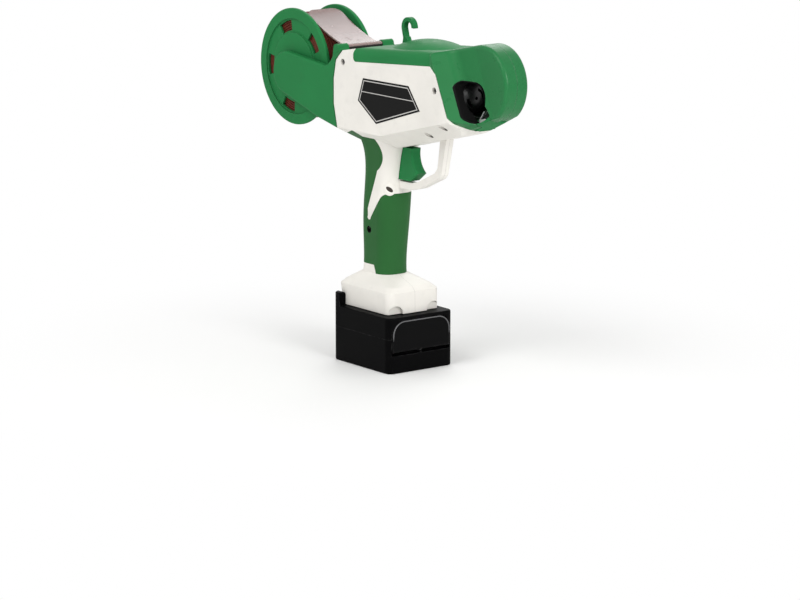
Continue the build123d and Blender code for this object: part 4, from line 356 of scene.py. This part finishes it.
def moulded(name, colour, *, rough, grain, depth, shine=0.3, edge=0.5 * MM, wear_highlight=0.02, sheen=0.0,
            shades=()):
    """Plastic with grain, uneven tone and smudges, edges paled by wear and painted highlight, dark
    where shades say.
    """
    material, tree, shader = new_material(name)
    texture = add_group(tree, moulded_grain, Scale=grain)
    edges = add_group(tree, soft_edge, Radius=edge)
    finish = mixed(tree, texture["Tone"], *(tinted(colour, share) for share in TONE_SHARES))
    handled = maths(tree, "MULTIPLY", texture["Smudge"], SMUDGE_COVER)
    finish = mixed(tree, handled, finish, tinted(colour, SMUDGE_SHARE))
    # Edges pale towards a lighter colour: partly rubbing wear, partly a painted highlight.
    worn_highlight = maths(tree, "MULTIPLY", edges["Rub"], WEAR_HIGHLIGHT_COVER)
    worn_highlight_colour = tuple(min(1.0, channel * WEAR_HIGHLIGHT_SHARE + wear_highlight) for channel in colour)
    finish = mixed(tree, worn_highlight, finish, worn_highlight_colour)
    tree.links.new(shaded(tree, finish, colour, shades), shader.inputs["Base Color"])
    worn = maths(tree, "MULTIPLY", texture["Smudge"], SMUDGE_ROUGH)
    uneven = maths(tree, "MULTIPLY", texture["Tone"], TONE_ROUGH)
    roughness = maths(tree, "ADD", maths(tree, "ADD", worn, uneven), rough)
    tree.links.new(roughness, shader.inputs["Roughness"])
    add_bump(tree, shader, texture["Height"], GRAIN_BUMP, depth, edges["Normal"])
    shader.inputs["Specular IOR Level"].default_value = shine
    shader.inputs["Sheen Weight"].default_value = sheen
    return material


def dress(material, *names):
    """Give CAD nodes their material."""
    for name in names:
        for slot in frame["nodes"][name].material_slots:
            slot.material = material


white_plastic = moulded(
    "white_plastic", WHITE_SHELL, rough=0.42, grain=1600, depth=0.05 * MM, shades=(parting_line,))
dress(white_plastic, "shell_right", "shell_left")


# Rating plate on the right side of the body: a thin black film with a pale keyline, left bare.
# It is stuck on the flat panel in front of the wire inlet.
PLATE_CORNERS = ((2, 275.4), (72, 276), (89, 254.6), (22.4, 234.8), (-6, 253.6))
PLATE_FILM = 0.25 * MM
PLATE_MARGIN = 1.7 * MM
PLATE_KEYLINE = 0.9 * MM
PLATE_RULE_HEIGHT = 262.8 * MM
PLATE_RULE_WIDTH = 0.7 * MM
PLATE_BLACK = (0.004, 0.004, 0.004)
PLATE_PALE = (0.52, 0.51, 0.49)


def open_edges(form):
    """Edges of a form that have a face on one side only."""
    return [edge for edge in form.edges if edge.is_boundary]


film_black = moulded(
    "film_black", PLATE_BLACK, rough=0.32, grain=900, depth=0.01 * MM, shine=0.08, edge=0.15 * MM)
film_pale = moulded(
    "film_pale", PLATE_PALE, rough=0.4, grain=900, depth=0.01 * MM, edge=0.15 * MM)
panel_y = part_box("shell_right")[0].y
plate_form = bmesh.new()
field = plate_form.faces.new([
    plate_form.verts.new((x * MM, panel_y - PLATE_FILM, z * MM)) for x, z in PLATE_CORNERS
])
plate_form.normal_update()
for width, film in ((PLATE_MARGIN, 0), (PLATE_KEYLINE, 1)):
    border = bmesh.ops.inset_region(
        plate_form, faces=[field], thickness=width, use_boundary=True, use_even_offset=True)
    for face in border["faces"]:
        face.material_index = film
inner = [field]
for rule_edge in (-PLATE_RULE_WIDTH / 2, PLATE_RULE_WIDTH / 2):
    inner_edges = {edge for face in inner for edge in face.edges}
    cut = bmesh.ops.bisect_plane(
        plate_form, geom=[*inner, *inner_edges],
        plane_co=(0, 0, PLATE_RULE_HEIGHT + rule_edge), plane_no=(0, 0, 1))
    inner = [item for item in cut["geom"] if isinstance(item, bmesh.types.BMFace)]
for face in inner:
    if abs(face.calc_center_median().z - PLATE_RULE_HEIGHT) < PLATE_RULE_WIDTH:
        face.material_index = 1
skirt = bmesh.ops.extrude_edge_only(plate_form, edges=open_edges(plate_form))
for vertex in (item for item in skirt["geom"] if isinstance(item, bmesh.types.BMVert)):
    vertex.co.y = panel_y
bmesh.ops.holes_fill(plate_form, edges=open_edges(plate_form))
bmesh.ops.recalc_face_normals(plate_form, faces=plate_form.faces)
rating_plate = meshed("rating_plate", plate_form, film_black, film_pale)
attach(rating_plate, "body")


# Green mouldings: the top cover with its hanging hook, the gate, the trigger, the reel and its
# arms, all injection moulded in one satin green.
GREEN = (0.018, 0.185, 0.054)
# Its paler edges are partly wear and partly a painted highlight.
green_plastic = moulded(
    "green_plastic", GREEN, rough=0.42, grain=1300, depth=0.04 * MM, shine=0.08, edge=0.8 * MM,
    wear_highlight=0.07)
dress(green_plastic, "top_cover", "hanging_hook", "mouth_gate", "trigger", "reel_arm_right",
      "reel_arm_left", "reel_flange_right", "reel_flange_left", "reel_hub")


# Nose: two mouldings of the same green, screwed together, with a painted highlight along their
# ridges; the bore round the twister and the slot of the gate are painted near black as shade.
NOSE_SHARE = 0.86
BORE_RADIUS = 16.8 * MM
BORE_FRONT = 134.0 * MM
SLOT_HALF_WIDTH = 11.0 * MM
SLOT_REAR = 132.0 * MM
SLOT_FRONT = 148.0 * MM
SLOT_LOW = 246.0 * MM

joints = {joint["name"]: joint for joint in frame["joints"]}
bore_height = joints["twister_spin"]["pos_m"][2]


def in_round(tree, places, axes, middle, radius):
    """Mask that is 1 inside a circle on two axes, of a middle and radius."""
    squares = []
    for axis, centre in zip(axes, middle):
        apart = maths(tree, "SUBTRACT", places[axis], centre)
        squares.append(maths(tree, "MULTIPLY", apart, apart))
    return maths(tree, "LESS_THAN", maths(tree, "ADD", *squares), radius ** 2)


# Painted shade: near black inside the bore round the twister and in the gate's slot.
oiled_throat, results = new_group("oiled_throat", {}, {"Shade": FLOAT})
places = along_axes(oiled_throat)
in_bore = all_of(
    oiled_throat,
    in_round(oiled_throat, places, "YZ", (0.0, bore_height), BORE_RADIUS),
    maths(oiled_throat, "LESS_THAN", places["X"], BORE_FRONT),
)
in_slot = all_of(
    oiled_throat,
    between(oiled_throat, places["X"], SLOT_REAR, SLOT_FRONT),
    between(oiled_throat, places["Y"], -SLOT_HALF_WIDTH, SLOT_HALF_WIDTH),
    between(oiled_throat, places["Z"], SLOT_LOW, bore_height),
)
oiled_throat.links.new(maths(oiled_throat, "MAXIMUM", in_bore, in_slot), results["Shade"])
nose_plastic = moulded(
    "nose_plastic", tinted(GREEN, NOSE_SHARE), rough=0.28, grain=1300, depth=0.04 * MM, shine=0.20,
    edge=1.2 * MM, wear_highlight=0.14, shades=(parting_line, oiled_throat))
dress(nose_plastic, "nose_right", "nose_left")


# Liner of the mouth: a bush pressed into the nose, which the vine and the wire slide over. It is
# moulded from a plastic that doesn't shine, its near black a painted shade for the dark inside of
# the mouth.
LINER_SHADE_BLACK = (0.003, 0.003, 0.003)
liner_plastic = moulded(
    "liner_plastic", LINER_SHADE_BLACK, rough=0.55, grain=1500, depth=0.04 * MM, shine=0.08,
    edge=0.3 * MM)
dress(liner_plastic, "mouth_liner")


# Soft sleeve on the grip: green rubber moulded over the white core, matt and slightly dusty; the
# deep well of its screw is painted near black as shade.
SLEEVE_GREEN = (0.0172, 0.105, 0.024)
WELL_PLACE = (-14.0 * MM, 128.0 * MM)
WELL_RADIUS = 3.4 * MM

# Painted shade: the walls of the screw's well in the sleeve are turned near black.
grip_well, results = new_group("grip_well", {}, {"Shade": FLOAT})
places = along_axes(grip_well)
in_well = all_of(
    grip_well,
    in_round(grip_well, places, "XZ", WELL_PLACE, WELL_RADIUS),
    maths(grip_well, "LESS_THAN", places["Y"], 0.0),
)
grip_well.links.new(in_well, results["Shade"])
green_rubber = moulded(
    "green_rubber", SLEEVE_GREEN, rough=0.62, grain=2400, depth=0.06 * MM, shine=0.17,
    edge=0.8 * MM, sheen=0.05, shades=(grip_well,))
dress(green_rubber, "grip_sleeve")


# Boss of the screw above the sleeve: a low collar of the white moulding that laps over the sleeve's
# edge; its screw lies deep in a well that slants to the front, drawn as a shallow well whose floor
# is painted dark brown as shade.
BOSS_PLACE = Vector((12.1, -12.9, 169.3)) * MM
BOSS_OUT = Vector((0.741, -0.671, 0.0))
BOSS_UP = Vector((0, 0, 1))
BOSS_REACH = 6.2 * MM
BOSS_WELL = (4.3 * MM, 2.2 * MM)
BOSS_WELL_TURN = math.radians(-36.0)
BOSS_SIDES = 48
BOSS_COLLAR = ((1.0, -0.5), (0.97, 0.08), (0.85, 0.28), (0.30, 0.42), (0.08, 0.40), (0.0, 0.28))
BOSS_FLOOR = ((0.90, 0.06), (0.45, 0.05))
BOSS_SLIP = 0.5 * MM
WELL_SHADE_BROWN = (0.060, 0.050, 0.044)

boss_across = BOSS_UP.cross(BOSS_OUT)
grip_meshes = [frame["nodes"][name].data for name in ("shell_right", "grip_sleeve")]
grip_surfaces = [
    BVHTree.FromPolygons(
        [vertex.co for vertex in mesh.vertices], [face.vertices for face in mesh.polygons])
    for mesh in grip_meshes
]


def on_grip(across, high, rise):
    """Point that stands out from the grip by a rise, across and above the boss's middle."""
    start = BOSS_PLACE + boss_across * across + BOSS_UP * high + BOSS_OUT * BOSS_REACH
    depths = []
    for surface in grip_surfaces:
        # Rays a little above and below bridge the gap along the sleeve's edge.
        for slip in (-BOSS_SLIP, 0, BOSS_SLIP):
            *_, depth = surface.ray_cast(start + BOSS_UP * slip, -BOSS_OUT)
            if depth is not None:
                depths.append(depth)
    return start + BOSS_OUT * (rise - min(depths))


def full_turn(count):
    """Angles of a full turn in equal steps."""
    return [math.tau * step / count for step in range(count)]


def boss_ring(form, blend, scale, rise):
    """Ring of the boss, between the well's oval (blend 0) and the round outside (blend 1)."""
    ring = []
    for angle in full_turn(BOSS_SIDES):
        oval = Vector((BOSS_WELL[0] * math.cos(angle), BOSS_WELL[1] * math.sin(angle)))
        outside = Vector((math.cos(angle), math.sin(angle))) * BOSS_REACH
        flat = Matrix.Rotation(BOSS_WELL_TURN, 2) @ (oval.lerp(outside, blend) * scale)
        ring.append(form.verts.new(on_grip(flat.x, flat.y, rise * MM)))
    return ring


def bridged(form, ring, following, smooth=True):
    """Faces between two closed rings with as many points each."""
    faces = []
    for side in range(len(ring)):
        other = (side + 1) % len(ring)
        face = form.faces.new((ring[side], ring[other], following[other], following[side]))
        face.smooth = smooth
        faces.append(face)
    return faces


boss_form = bmesh.new()
boss_rings = [boss_ring(boss_form, blend, 1.0, rise) for blend, rise in BOSS_COLLAR]
boss_rings += [boss_ring(boss_form, 0.0, scale, rise) for scale, rise in BOSS_FLOOR]
for level, (ring, following) in enumerate(zip(boss_rings, boss_rings[1:])):
    for face in bridged(boss_form, ring, following):
        face.material_index = int(level >= len(BOSS_COLLAR))
boss_form.faces.new(boss_rings[-1]).material_index = 1
boss_form.faces.new(boss_rings[0])
bmesh.ops.recalc_face_normals(boss_form, faces=boss_form.faces)
# Floor of the well: painted shade in dark brown, standing in for the deep hole.
well_plastic = moulded(
    "well_plastic", WELL_SHADE_BROWN, rough=0.6, grain=1500, depth=0.04 * MM, shine=0.05, edge=0.1 * MM)
grip_boss = meshed("grip_boss", boss_form, white_plastic, well_plastic)
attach(grip_boss, "body")


# Battery: black glass-filled plastic, a tub and a cover welded along a line round the pack, with
# the release lever in its front. Terminals, switch and wire inlet are of the same plastic.
BATTERY_BLACK = (0.0016, 0.0016, 0.0018)
# Its edges are paled a little, partly wear and partly a painted highlight.
black_plastic = moulded(
    "black_plastic", BATTERY_BLACK, rough=0.42, grain=1100, depth=0.07 * MM, shine=0.03,
    edge=0.7 * MM, wear_highlight=0.07)
dress(black_plastic, "battery_case", "battery_cover", "terminal_block", "trigger_switch",
      "wire_inlet")
# Its wide pale edges are a painted highlight along the lever's rounded rim.
lever_plastic = moulded(
    "lever_plastic", BATTERY_BLACK, rough=0.36, grain=1100, depth=0.05 * MM, shine=0.06,
    edge=1.5 * MM, wear_highlight=0.4)
dress(lever_plastic, "release_lever")


# Bead round the arch of the release lever: a narrow raised lip moulded with the lever, running out
# at both ends; its grey is a painted highlight along the arch.
BEAD_HIGHLIGHT_GREY = (0.11, 0.11, 0.115)
BEAD_THICK = 1.1 * MM
BEAD_ROUNDING = 4
BEAD_INSET = 1.3 * MM
BEAD_SHOULDER = 12.7 * MM
BEAD_SHOULDER_STEPS = 12
BEAD_LEG = 5.0 * MM
BEAD_LEG_STEPS = 4
BEAD_END_SHARE = 0.15
BEAD_SHARE_STEP = 0.25

lever_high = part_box("release_lever")[1]
bead_y = lever_high.y - BEAD_INSET
bead_z = lever_high.z - BEAD_INSET
leg_foot = Vector((bead_y, bead_z - BEAD_SHOULDER - BEAD_LEG))
half_bead = [
    leg_foot + Vector((0, BEAD_LEG * step / BEAD_LEG_STEPS)) for step in range(BEAD_LEG_STEPS)
]
for step in range(BEAD_SHOULDER_STEPS + 1):
    angle = math.pi / 2 * step / BEAD_SHOULDER_STEPS
    half_bead.append(Vector((bead_y - BEAD_SHOULDER * (1 - math.cos(angle)),
                             bead_z - BEAD_SHOULDER * (1 - math.sin(angle)))))
bead_line = half_bead + [Vector((-point.x, point.y)) for point in reversed(half_bead)]
bead_curve = bpy.data.curves.new("lever_bead", "CURVE")
bead_curve.dimensions = "3D"
bead_curve.bevel_depth = BEAD_THICK / 2
bead_curve.bevel_resolution = BEAD_ROUNDING
bead_curve.use_fill_caps = True
bead_points = bead_curve.splines.new("POLY").points
bead_points.add(len(bead_line) - 1)
for index, (bead, point) in enumerate(zip(bead_points, bead_line)):
    from_end = min(index, len(bead_line) - 1 - index)
    bead.co = (lever_high.x, point.x, point.y, 1)
    bead.radius = min(1.0, BEAD_END_SHARE + BEAD_SHARE_STEP * from_end)
# Painted highlight: the bead's grey stands in for light along the arch's edge.
bead_plastic = moulded(
    "bead_plastic", BEAD_HIGHLIGHT_GREY, rough=0.28, grain=1100, depth=0.02 * MM, shine=0.5, edge=0.2 * MM)
bead_curve.materials.append(bead_plastic)
lever_bead = placed("lever_bead", bead_curve)
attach(lever_bead, "release")


# Clear guard over the reel: bent from clear sheet, faintly pink against the wire below it.
# A black rod runs through the rolled edge that it swings on.
GUARD_TINT = (0.46, 0.335, 0.315)
GUARD_TINT_SHARE = 0.94
GUARD_GRAIN = 700
GUARD_ROUGH = 0.12
GUARD_SCUFF = 0.25
GUARD_CLEAR = 0.55
GUARD_IOR = 1.49
GUARD_WAVES = 0.2
GUARD_WAVE_DEPTH = 0.05 * MM
GUARD_BARREL = 3.45 * MM
BARREL_DARK = (0.006, 0.006, 0.006)
ROD_RISE = 0.6 * MM

hinge_x, _, hinge_z = joints["guard_lift"]["pos_m"]
clear_guard, tree, shader = new_material("clear_guard")
texture = add_group(tree, moulded_grain, Scale=GUARD_GRAIN)
places = along_axes(tree)
# The sheet's rolled edge is coloured near black round the rod, drawing a dark line along the hinge.
in_barrel = all_of(
    tree,
    in_round(tree, places, "XZ", (hinge_x, hinge_z), GUARD_BARREL),
    maths(tree, "LESS_THAN", places["Z"], hinge_z + ROD_RISE),
)
sheet_tone = mixed(tree, texture["Tone"], GUARD_TINT, tinted(GUARD_TINT, GUARD_TINT_SHARE))
tree.links.new(mixed(tree, in_barrel, sheet_tone, BARREL_DARK), shader.inputs["Base Color"])
scuffed = maths(tree, "MULTIPLY", texture["Smudge"], GUARD_SCUFF)
tree.links.new(maths(tree, "ADD", scuffed, GUARD_ROUGH), shader.inputs["Roughness"])
shader.inputs["Transmission Weight"].default_value = GUARD_CLEAR
shader.inputs["IOR"].default_value = GUARD_IOR
add_bump(tree, shader, texture["Tone"], GUARD_WAVES, GUARD_WAVE_DEPTH)
dress(clear_guard, "reel_guard")


# Tying wire on the reel: thin wire in a dark red-brown coating, wound in even layers; its outer
# layer and the layers' ends, seen through the flanges' windows, are laid turn by turn.
WIRE_BROWN = (0.120, 0.024, 0.013)
WIRE_THICK = 2.2 * MM
WIRE_PITCH = 2.38 * MM
WIRE_FILL = 3.0 * MM
WIRE_SIDES = 8
TURN_STEPS = 60
CROSS_OVER = 0.18
WAVER = 0.05 * WIRE_PITCH
WAVER_TURN = 2.3
END_DEPTH = 1.9 * WIRE_THICK
END_TURNS = 8
CORE_SINK = 0.4 * MM
CORE_STEP = 2.0 * MM

coil_low, coil_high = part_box("wire_winding")
core_low, core_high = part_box("wire_core")
reel_middle = (core_low + core_high) / 2
wire_reach = (coil_high.x - coil_low.x) / 2 + WIRE_FILL
wire_side = (core_high.y - core_low.y) / 2


def wire_tube(form, line):
    """Round tube of wire along a line of points, closed at both ends."""
    rings = []
    for index, point in enumerate(line):
        ahead = line[min(index + 1, len(line) - 1)] - line[max(index - 1, 0)]
        out = (point - reel_middle) * Vector((1, 0, 1))
        out = (out - ahead * (out.dot(ahead) / ahead.length_squared)).normalized()
        across = ahead.cross(out).normalized()
        rings.append([
            form.verts.new(
                point + (out * math.cos(angle) + across * math.sin(angle)) * WIRE_THICK / 2)
            for angle in full_turn(WIRE_SIDES)
        ])
    for ring, following in zip(rings, rings[1:]):
        bridged(form, ring, following)
    form.faces.new(rings[0])
    form.faces.new(rings[-1])


def on_reel(radius, turn, side):
    """Point at a radius and a share of turns round the axle, to the left of the reel's middle."""
    angle = math.tau * turn
    return reel_middle + Vector((radius * math.cos(angle), side, radius * math.sin(angle)))


def wound_side(turn):
    """Place of the wire across the reel after some turns: it steps over once in each turn."""
    whole = math.floor(turn)
    step = min(1.0, max(0.0, (turn - whole - 1 + CROSS_OVER) / CROSS_OVER))
    eased = step * step * (3 - 2 * step)
    return (whole + eased) * WIRE_PITCH + WAVER * math.sin(WAVER_TURN * whole)


def turns(count):
    """Turns from 0 to a count, in small steps."""
    return [step / TURN_STEPS for step in range(count * TURN_STEPS + 1)]


wire_form = bmesh.new()
layer_turns = math.floor((2 * wire_side - WIRE_THICK) / WIRE_PITCH)
layer_start = -layer_turns * WIRE_PITCH / 2
wire_tube(wire_form, [
    on_reel(wire_reach - WIRE_THICK / 2, turn, layer_start + wound_side(turn))
    for turn in turns(layer_turns)
])
for end_side in (WIRE_THICK / 2 - wire_side, wire_side - WIRE_THICK / 2):
    wire_tube(wire_form, [
        on_reel(wire_reach - END_DEPTH - WIRE_PITCH * turn, turn, end_side)
        for turn in turns(END_TURNS)
    ])
core_reach = wire_reach - WIRE_THICK - CORE_SINK
for reach, inset in ((core_reach, WIRE_THICK), (core_reach - CORE_STEP, WIRE_THICK / 2)):
    bands = [
        [wire_form.verts.new(on_reel(reach, turn, side)) for turn in turns(1)[:-1]]
        for side in (inset - wire_side, wire_side - inset)
    ]
    bridged(wire_form, *bands)
    for band in bands:
        wire_form.faces.new(band)
bmesh.ops.recalc_face_normals(wire_form, faces=wire_form.faces)
coated_wire = moulded(
    "coated_wire", WIRE_BROWN, rough=0.42, grain=2600, depth=0.03 * MM, shine=0.15, edge=0.1 * MM)
reel_wire = meshed("reel_wire", wire_form, coated_wire)
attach(reel_wire, "reel")
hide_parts("wire_core", "wire_winding")


# Bright steel: the gate's pin, curl guide, feed tube and rollers, twister shaft and bearing, and
# reel axle, drawn or turned, with fine lines along the work.
STEEL = (0.62, 0.62, 0.63)
MARK_NOISE = (60, 5)
MARK_SHARES = (0.86, 1.08)
MARK_ROUGH = 0.2
MARK_BUMP = 0.25
MARK_DEPTH = 0.02 * MM
STAIN_PATCHES = (140, 4, 0.35, 0.7)
STAIN_COVER = 0.2
STAIN_SHARE = 0.7


def worked_metal(name, colour, *, rough, lines, edge=0.2 * MM, shades=()):
    """Metal with fine tool marks, drawn out along axes of few lines, black where shades say."""
    material, tree, shader = new_material(name)
    place = object_place(tree)
    drawn = tree.nodes.new("ShaderNodeMapping")
    drawn.inputs["Scale"].default_value = lines
    tree.links.new(place, drawn.inputs["Vector"])
    marks = scaled_noise(tree, drawn.outputs["Vector"], *MARK_NOISE)
    finish = mixed(tree, marks, *(tinted(colour, share) for share in MARK_SHARES))
    stain = maths(tree, "MULTIPLY", patches(tree, place, *STAIN_PATCHES), STAIN_COVER)
    finish = mixed(tree, stain, finish, tinted(colour, STAIN_SHARE))
    tree.links.new(shaded(tree, finish, colour, shades), shader.inputs["Base Color"])
    uneven = maths(tree, "MULTIPLY", marks, MARK_ROUGH)
    tree.links.new(maths(tree, "ADD", uneven, rough), shader.inputs["Roughness"])
    edges = add_group(tree, soft_edge, Radius=edge)
    add_bump(tree, shader, marks, MARK_BUMP, MARK_DEPTH, edges["Normal"])
    shader.inputs["Metallic"].default_value = 1.0
    return material


bright_steel = worked_metal("bright_steel", STEEL, rough=0.2, lines=(30, 4, 30))
dress(bright_steel, "gate_pin", "curl_guide", "feed_tube", "twister_shaft", "reel_axle",
      "twister_bearing", "feed_roller_lower", "feed_roller_upper")


# Guide on the gate: a steel plate bent to a sharp angle, as wide as the gate's head,
# with a thick foot bedded on the gate and a thin leaf that turns the wire upwards.
GUIDE_SIDE = ((148.4, 249.4), (150.2, 249.5), (157.8, 253.3), (157.8, 254.5), (150.2, 252.6),
              (156.1, 260.5), (155.4, 261.0), (148.4, 252.1))
GUIDE_HALF_WIDTH = 14.2
GUIDE_EDGE = 0.2 * MM
GUIDE_EDGE_STEPS = 2

guide_form = bmesh.new()
flanks = [
    [guide_form.verts.new(Vector((x, side * GUIDE_HALF_WIDTH, z)) * MM) for x, z in GUIDE_SIDE]
    for side in (-1, 1)
]
bridged(guide_form, *flanks, smooth=False)
for flank in flanks:
    guide_form.faces.new(flank)
bmesh.ops.recalc_face_normals(guide_form, faces=guide_form.faces)
bmesh.ops.bevel(
    guide_form, geom=guide_form.edges[:], offset=GUIDE_EDGE, segments=GUIDE_EDGE_STEPS,
    affect="EDGES")
bent_guide = meshed("bent_guide", guide_form, bright_steel)
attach(bent_guide, "gate")
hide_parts("gate_guide")


# Blackened steel: the twister's dome, its gear and pinion, and the rod that the guard swings on,
# oxidised dark and oiled.
BLACKED = (0.006, 0.006, 0.0065)
black_steel = moulded(
    "black_steel", BLACKED, rough=0.30, grain=1800, depth=0.02 * MM, shine=0.4, edge=0.3 * MM)
dress(black_steel, "twister_head", "guard_pin", "twister_gear", "drive_pinion")


# Return springs behind the trigger and under the release lever: coils of steel wire, held at one
# end.
# The coil under the release lever is given black steel as painted shade, so that it stays dark in
# its slot.
SPRINGS = (
    ("trigger_coil", "trigger_spring", bright_steel, "body", "trigger_pull", (1, 0, 0)),
    ("lever_coil", "release_spring", black_steel, "battery", "release_press", (0, 0, 1)),
)

for name, node, finish, body, joint, axis in SPRINGS:
    coil = placed(name, frame["nodes"][node].data.copy())
    coil.data.materials.clear()
    coil.data.materials.append(finish)
    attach(coil, body)
    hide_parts(node)
    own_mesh(coil)


# Screws that hold the shell halves and the nose together: cap screws of zinc plated steel, sunk in
# round recesses; the one in the grip is painted near black as the shade of its deep well.
ZINC = (0.22, 0.215, 0.21)
zinc_plate = worked_metal(
    "zinc_plate", ZINC, rough=0.34, lines=(12, 12, 12), shades=(grip_well,))
dress(zinc_plate, "housing_screws", "nose_screws")


# Pieces inside the closed body: motor cans of plated steel, cast gearbox and feed bracket,
# a brass bush, a lacquered circuit board and wrapped cells.
MOTOR_GREY = (0.5, 0.5, 0.51)
CAST_GREY = (0.55, 0.55, 0.56)
BRASS = (0.68, 0.5, 0.2)
BOARD_GREEN = (0.02, 0.16, 0.07)
CELL_BLUE = (0.10, 0.24, 0.48)

motor_steel = worked_metal("motor_steel", MOTOR_GREY, rough=0.28, lines=(4, 30, 30))
dress(motor_steel, "twist_motor", "feed_motor")
cast_metal = worked_metal("cast_metal", CAST_GREY, rough=0.42, lines=(8, 8, 8))
dress(cast_metal, "twist_gearbox", "feed_bracket")
bush_brass = worked_metal("bush_brass", BRASS, rough=0.26, lines=(30, 6, 6))
dress(bush_brass, "shaft_bush")
board_lacquer = moulded("board_lacquer", BOARD_GREEN, rough=0.25, grain=500, depth=0.05 * MM)
dress(board_lacquer, "control_board")
cell_wrap = moulded("cell_wrap", CELL_BLUE, rough=0.3, grain=400, depth=0.03 * MM)
dress(cell_wrap, "battery_cells")
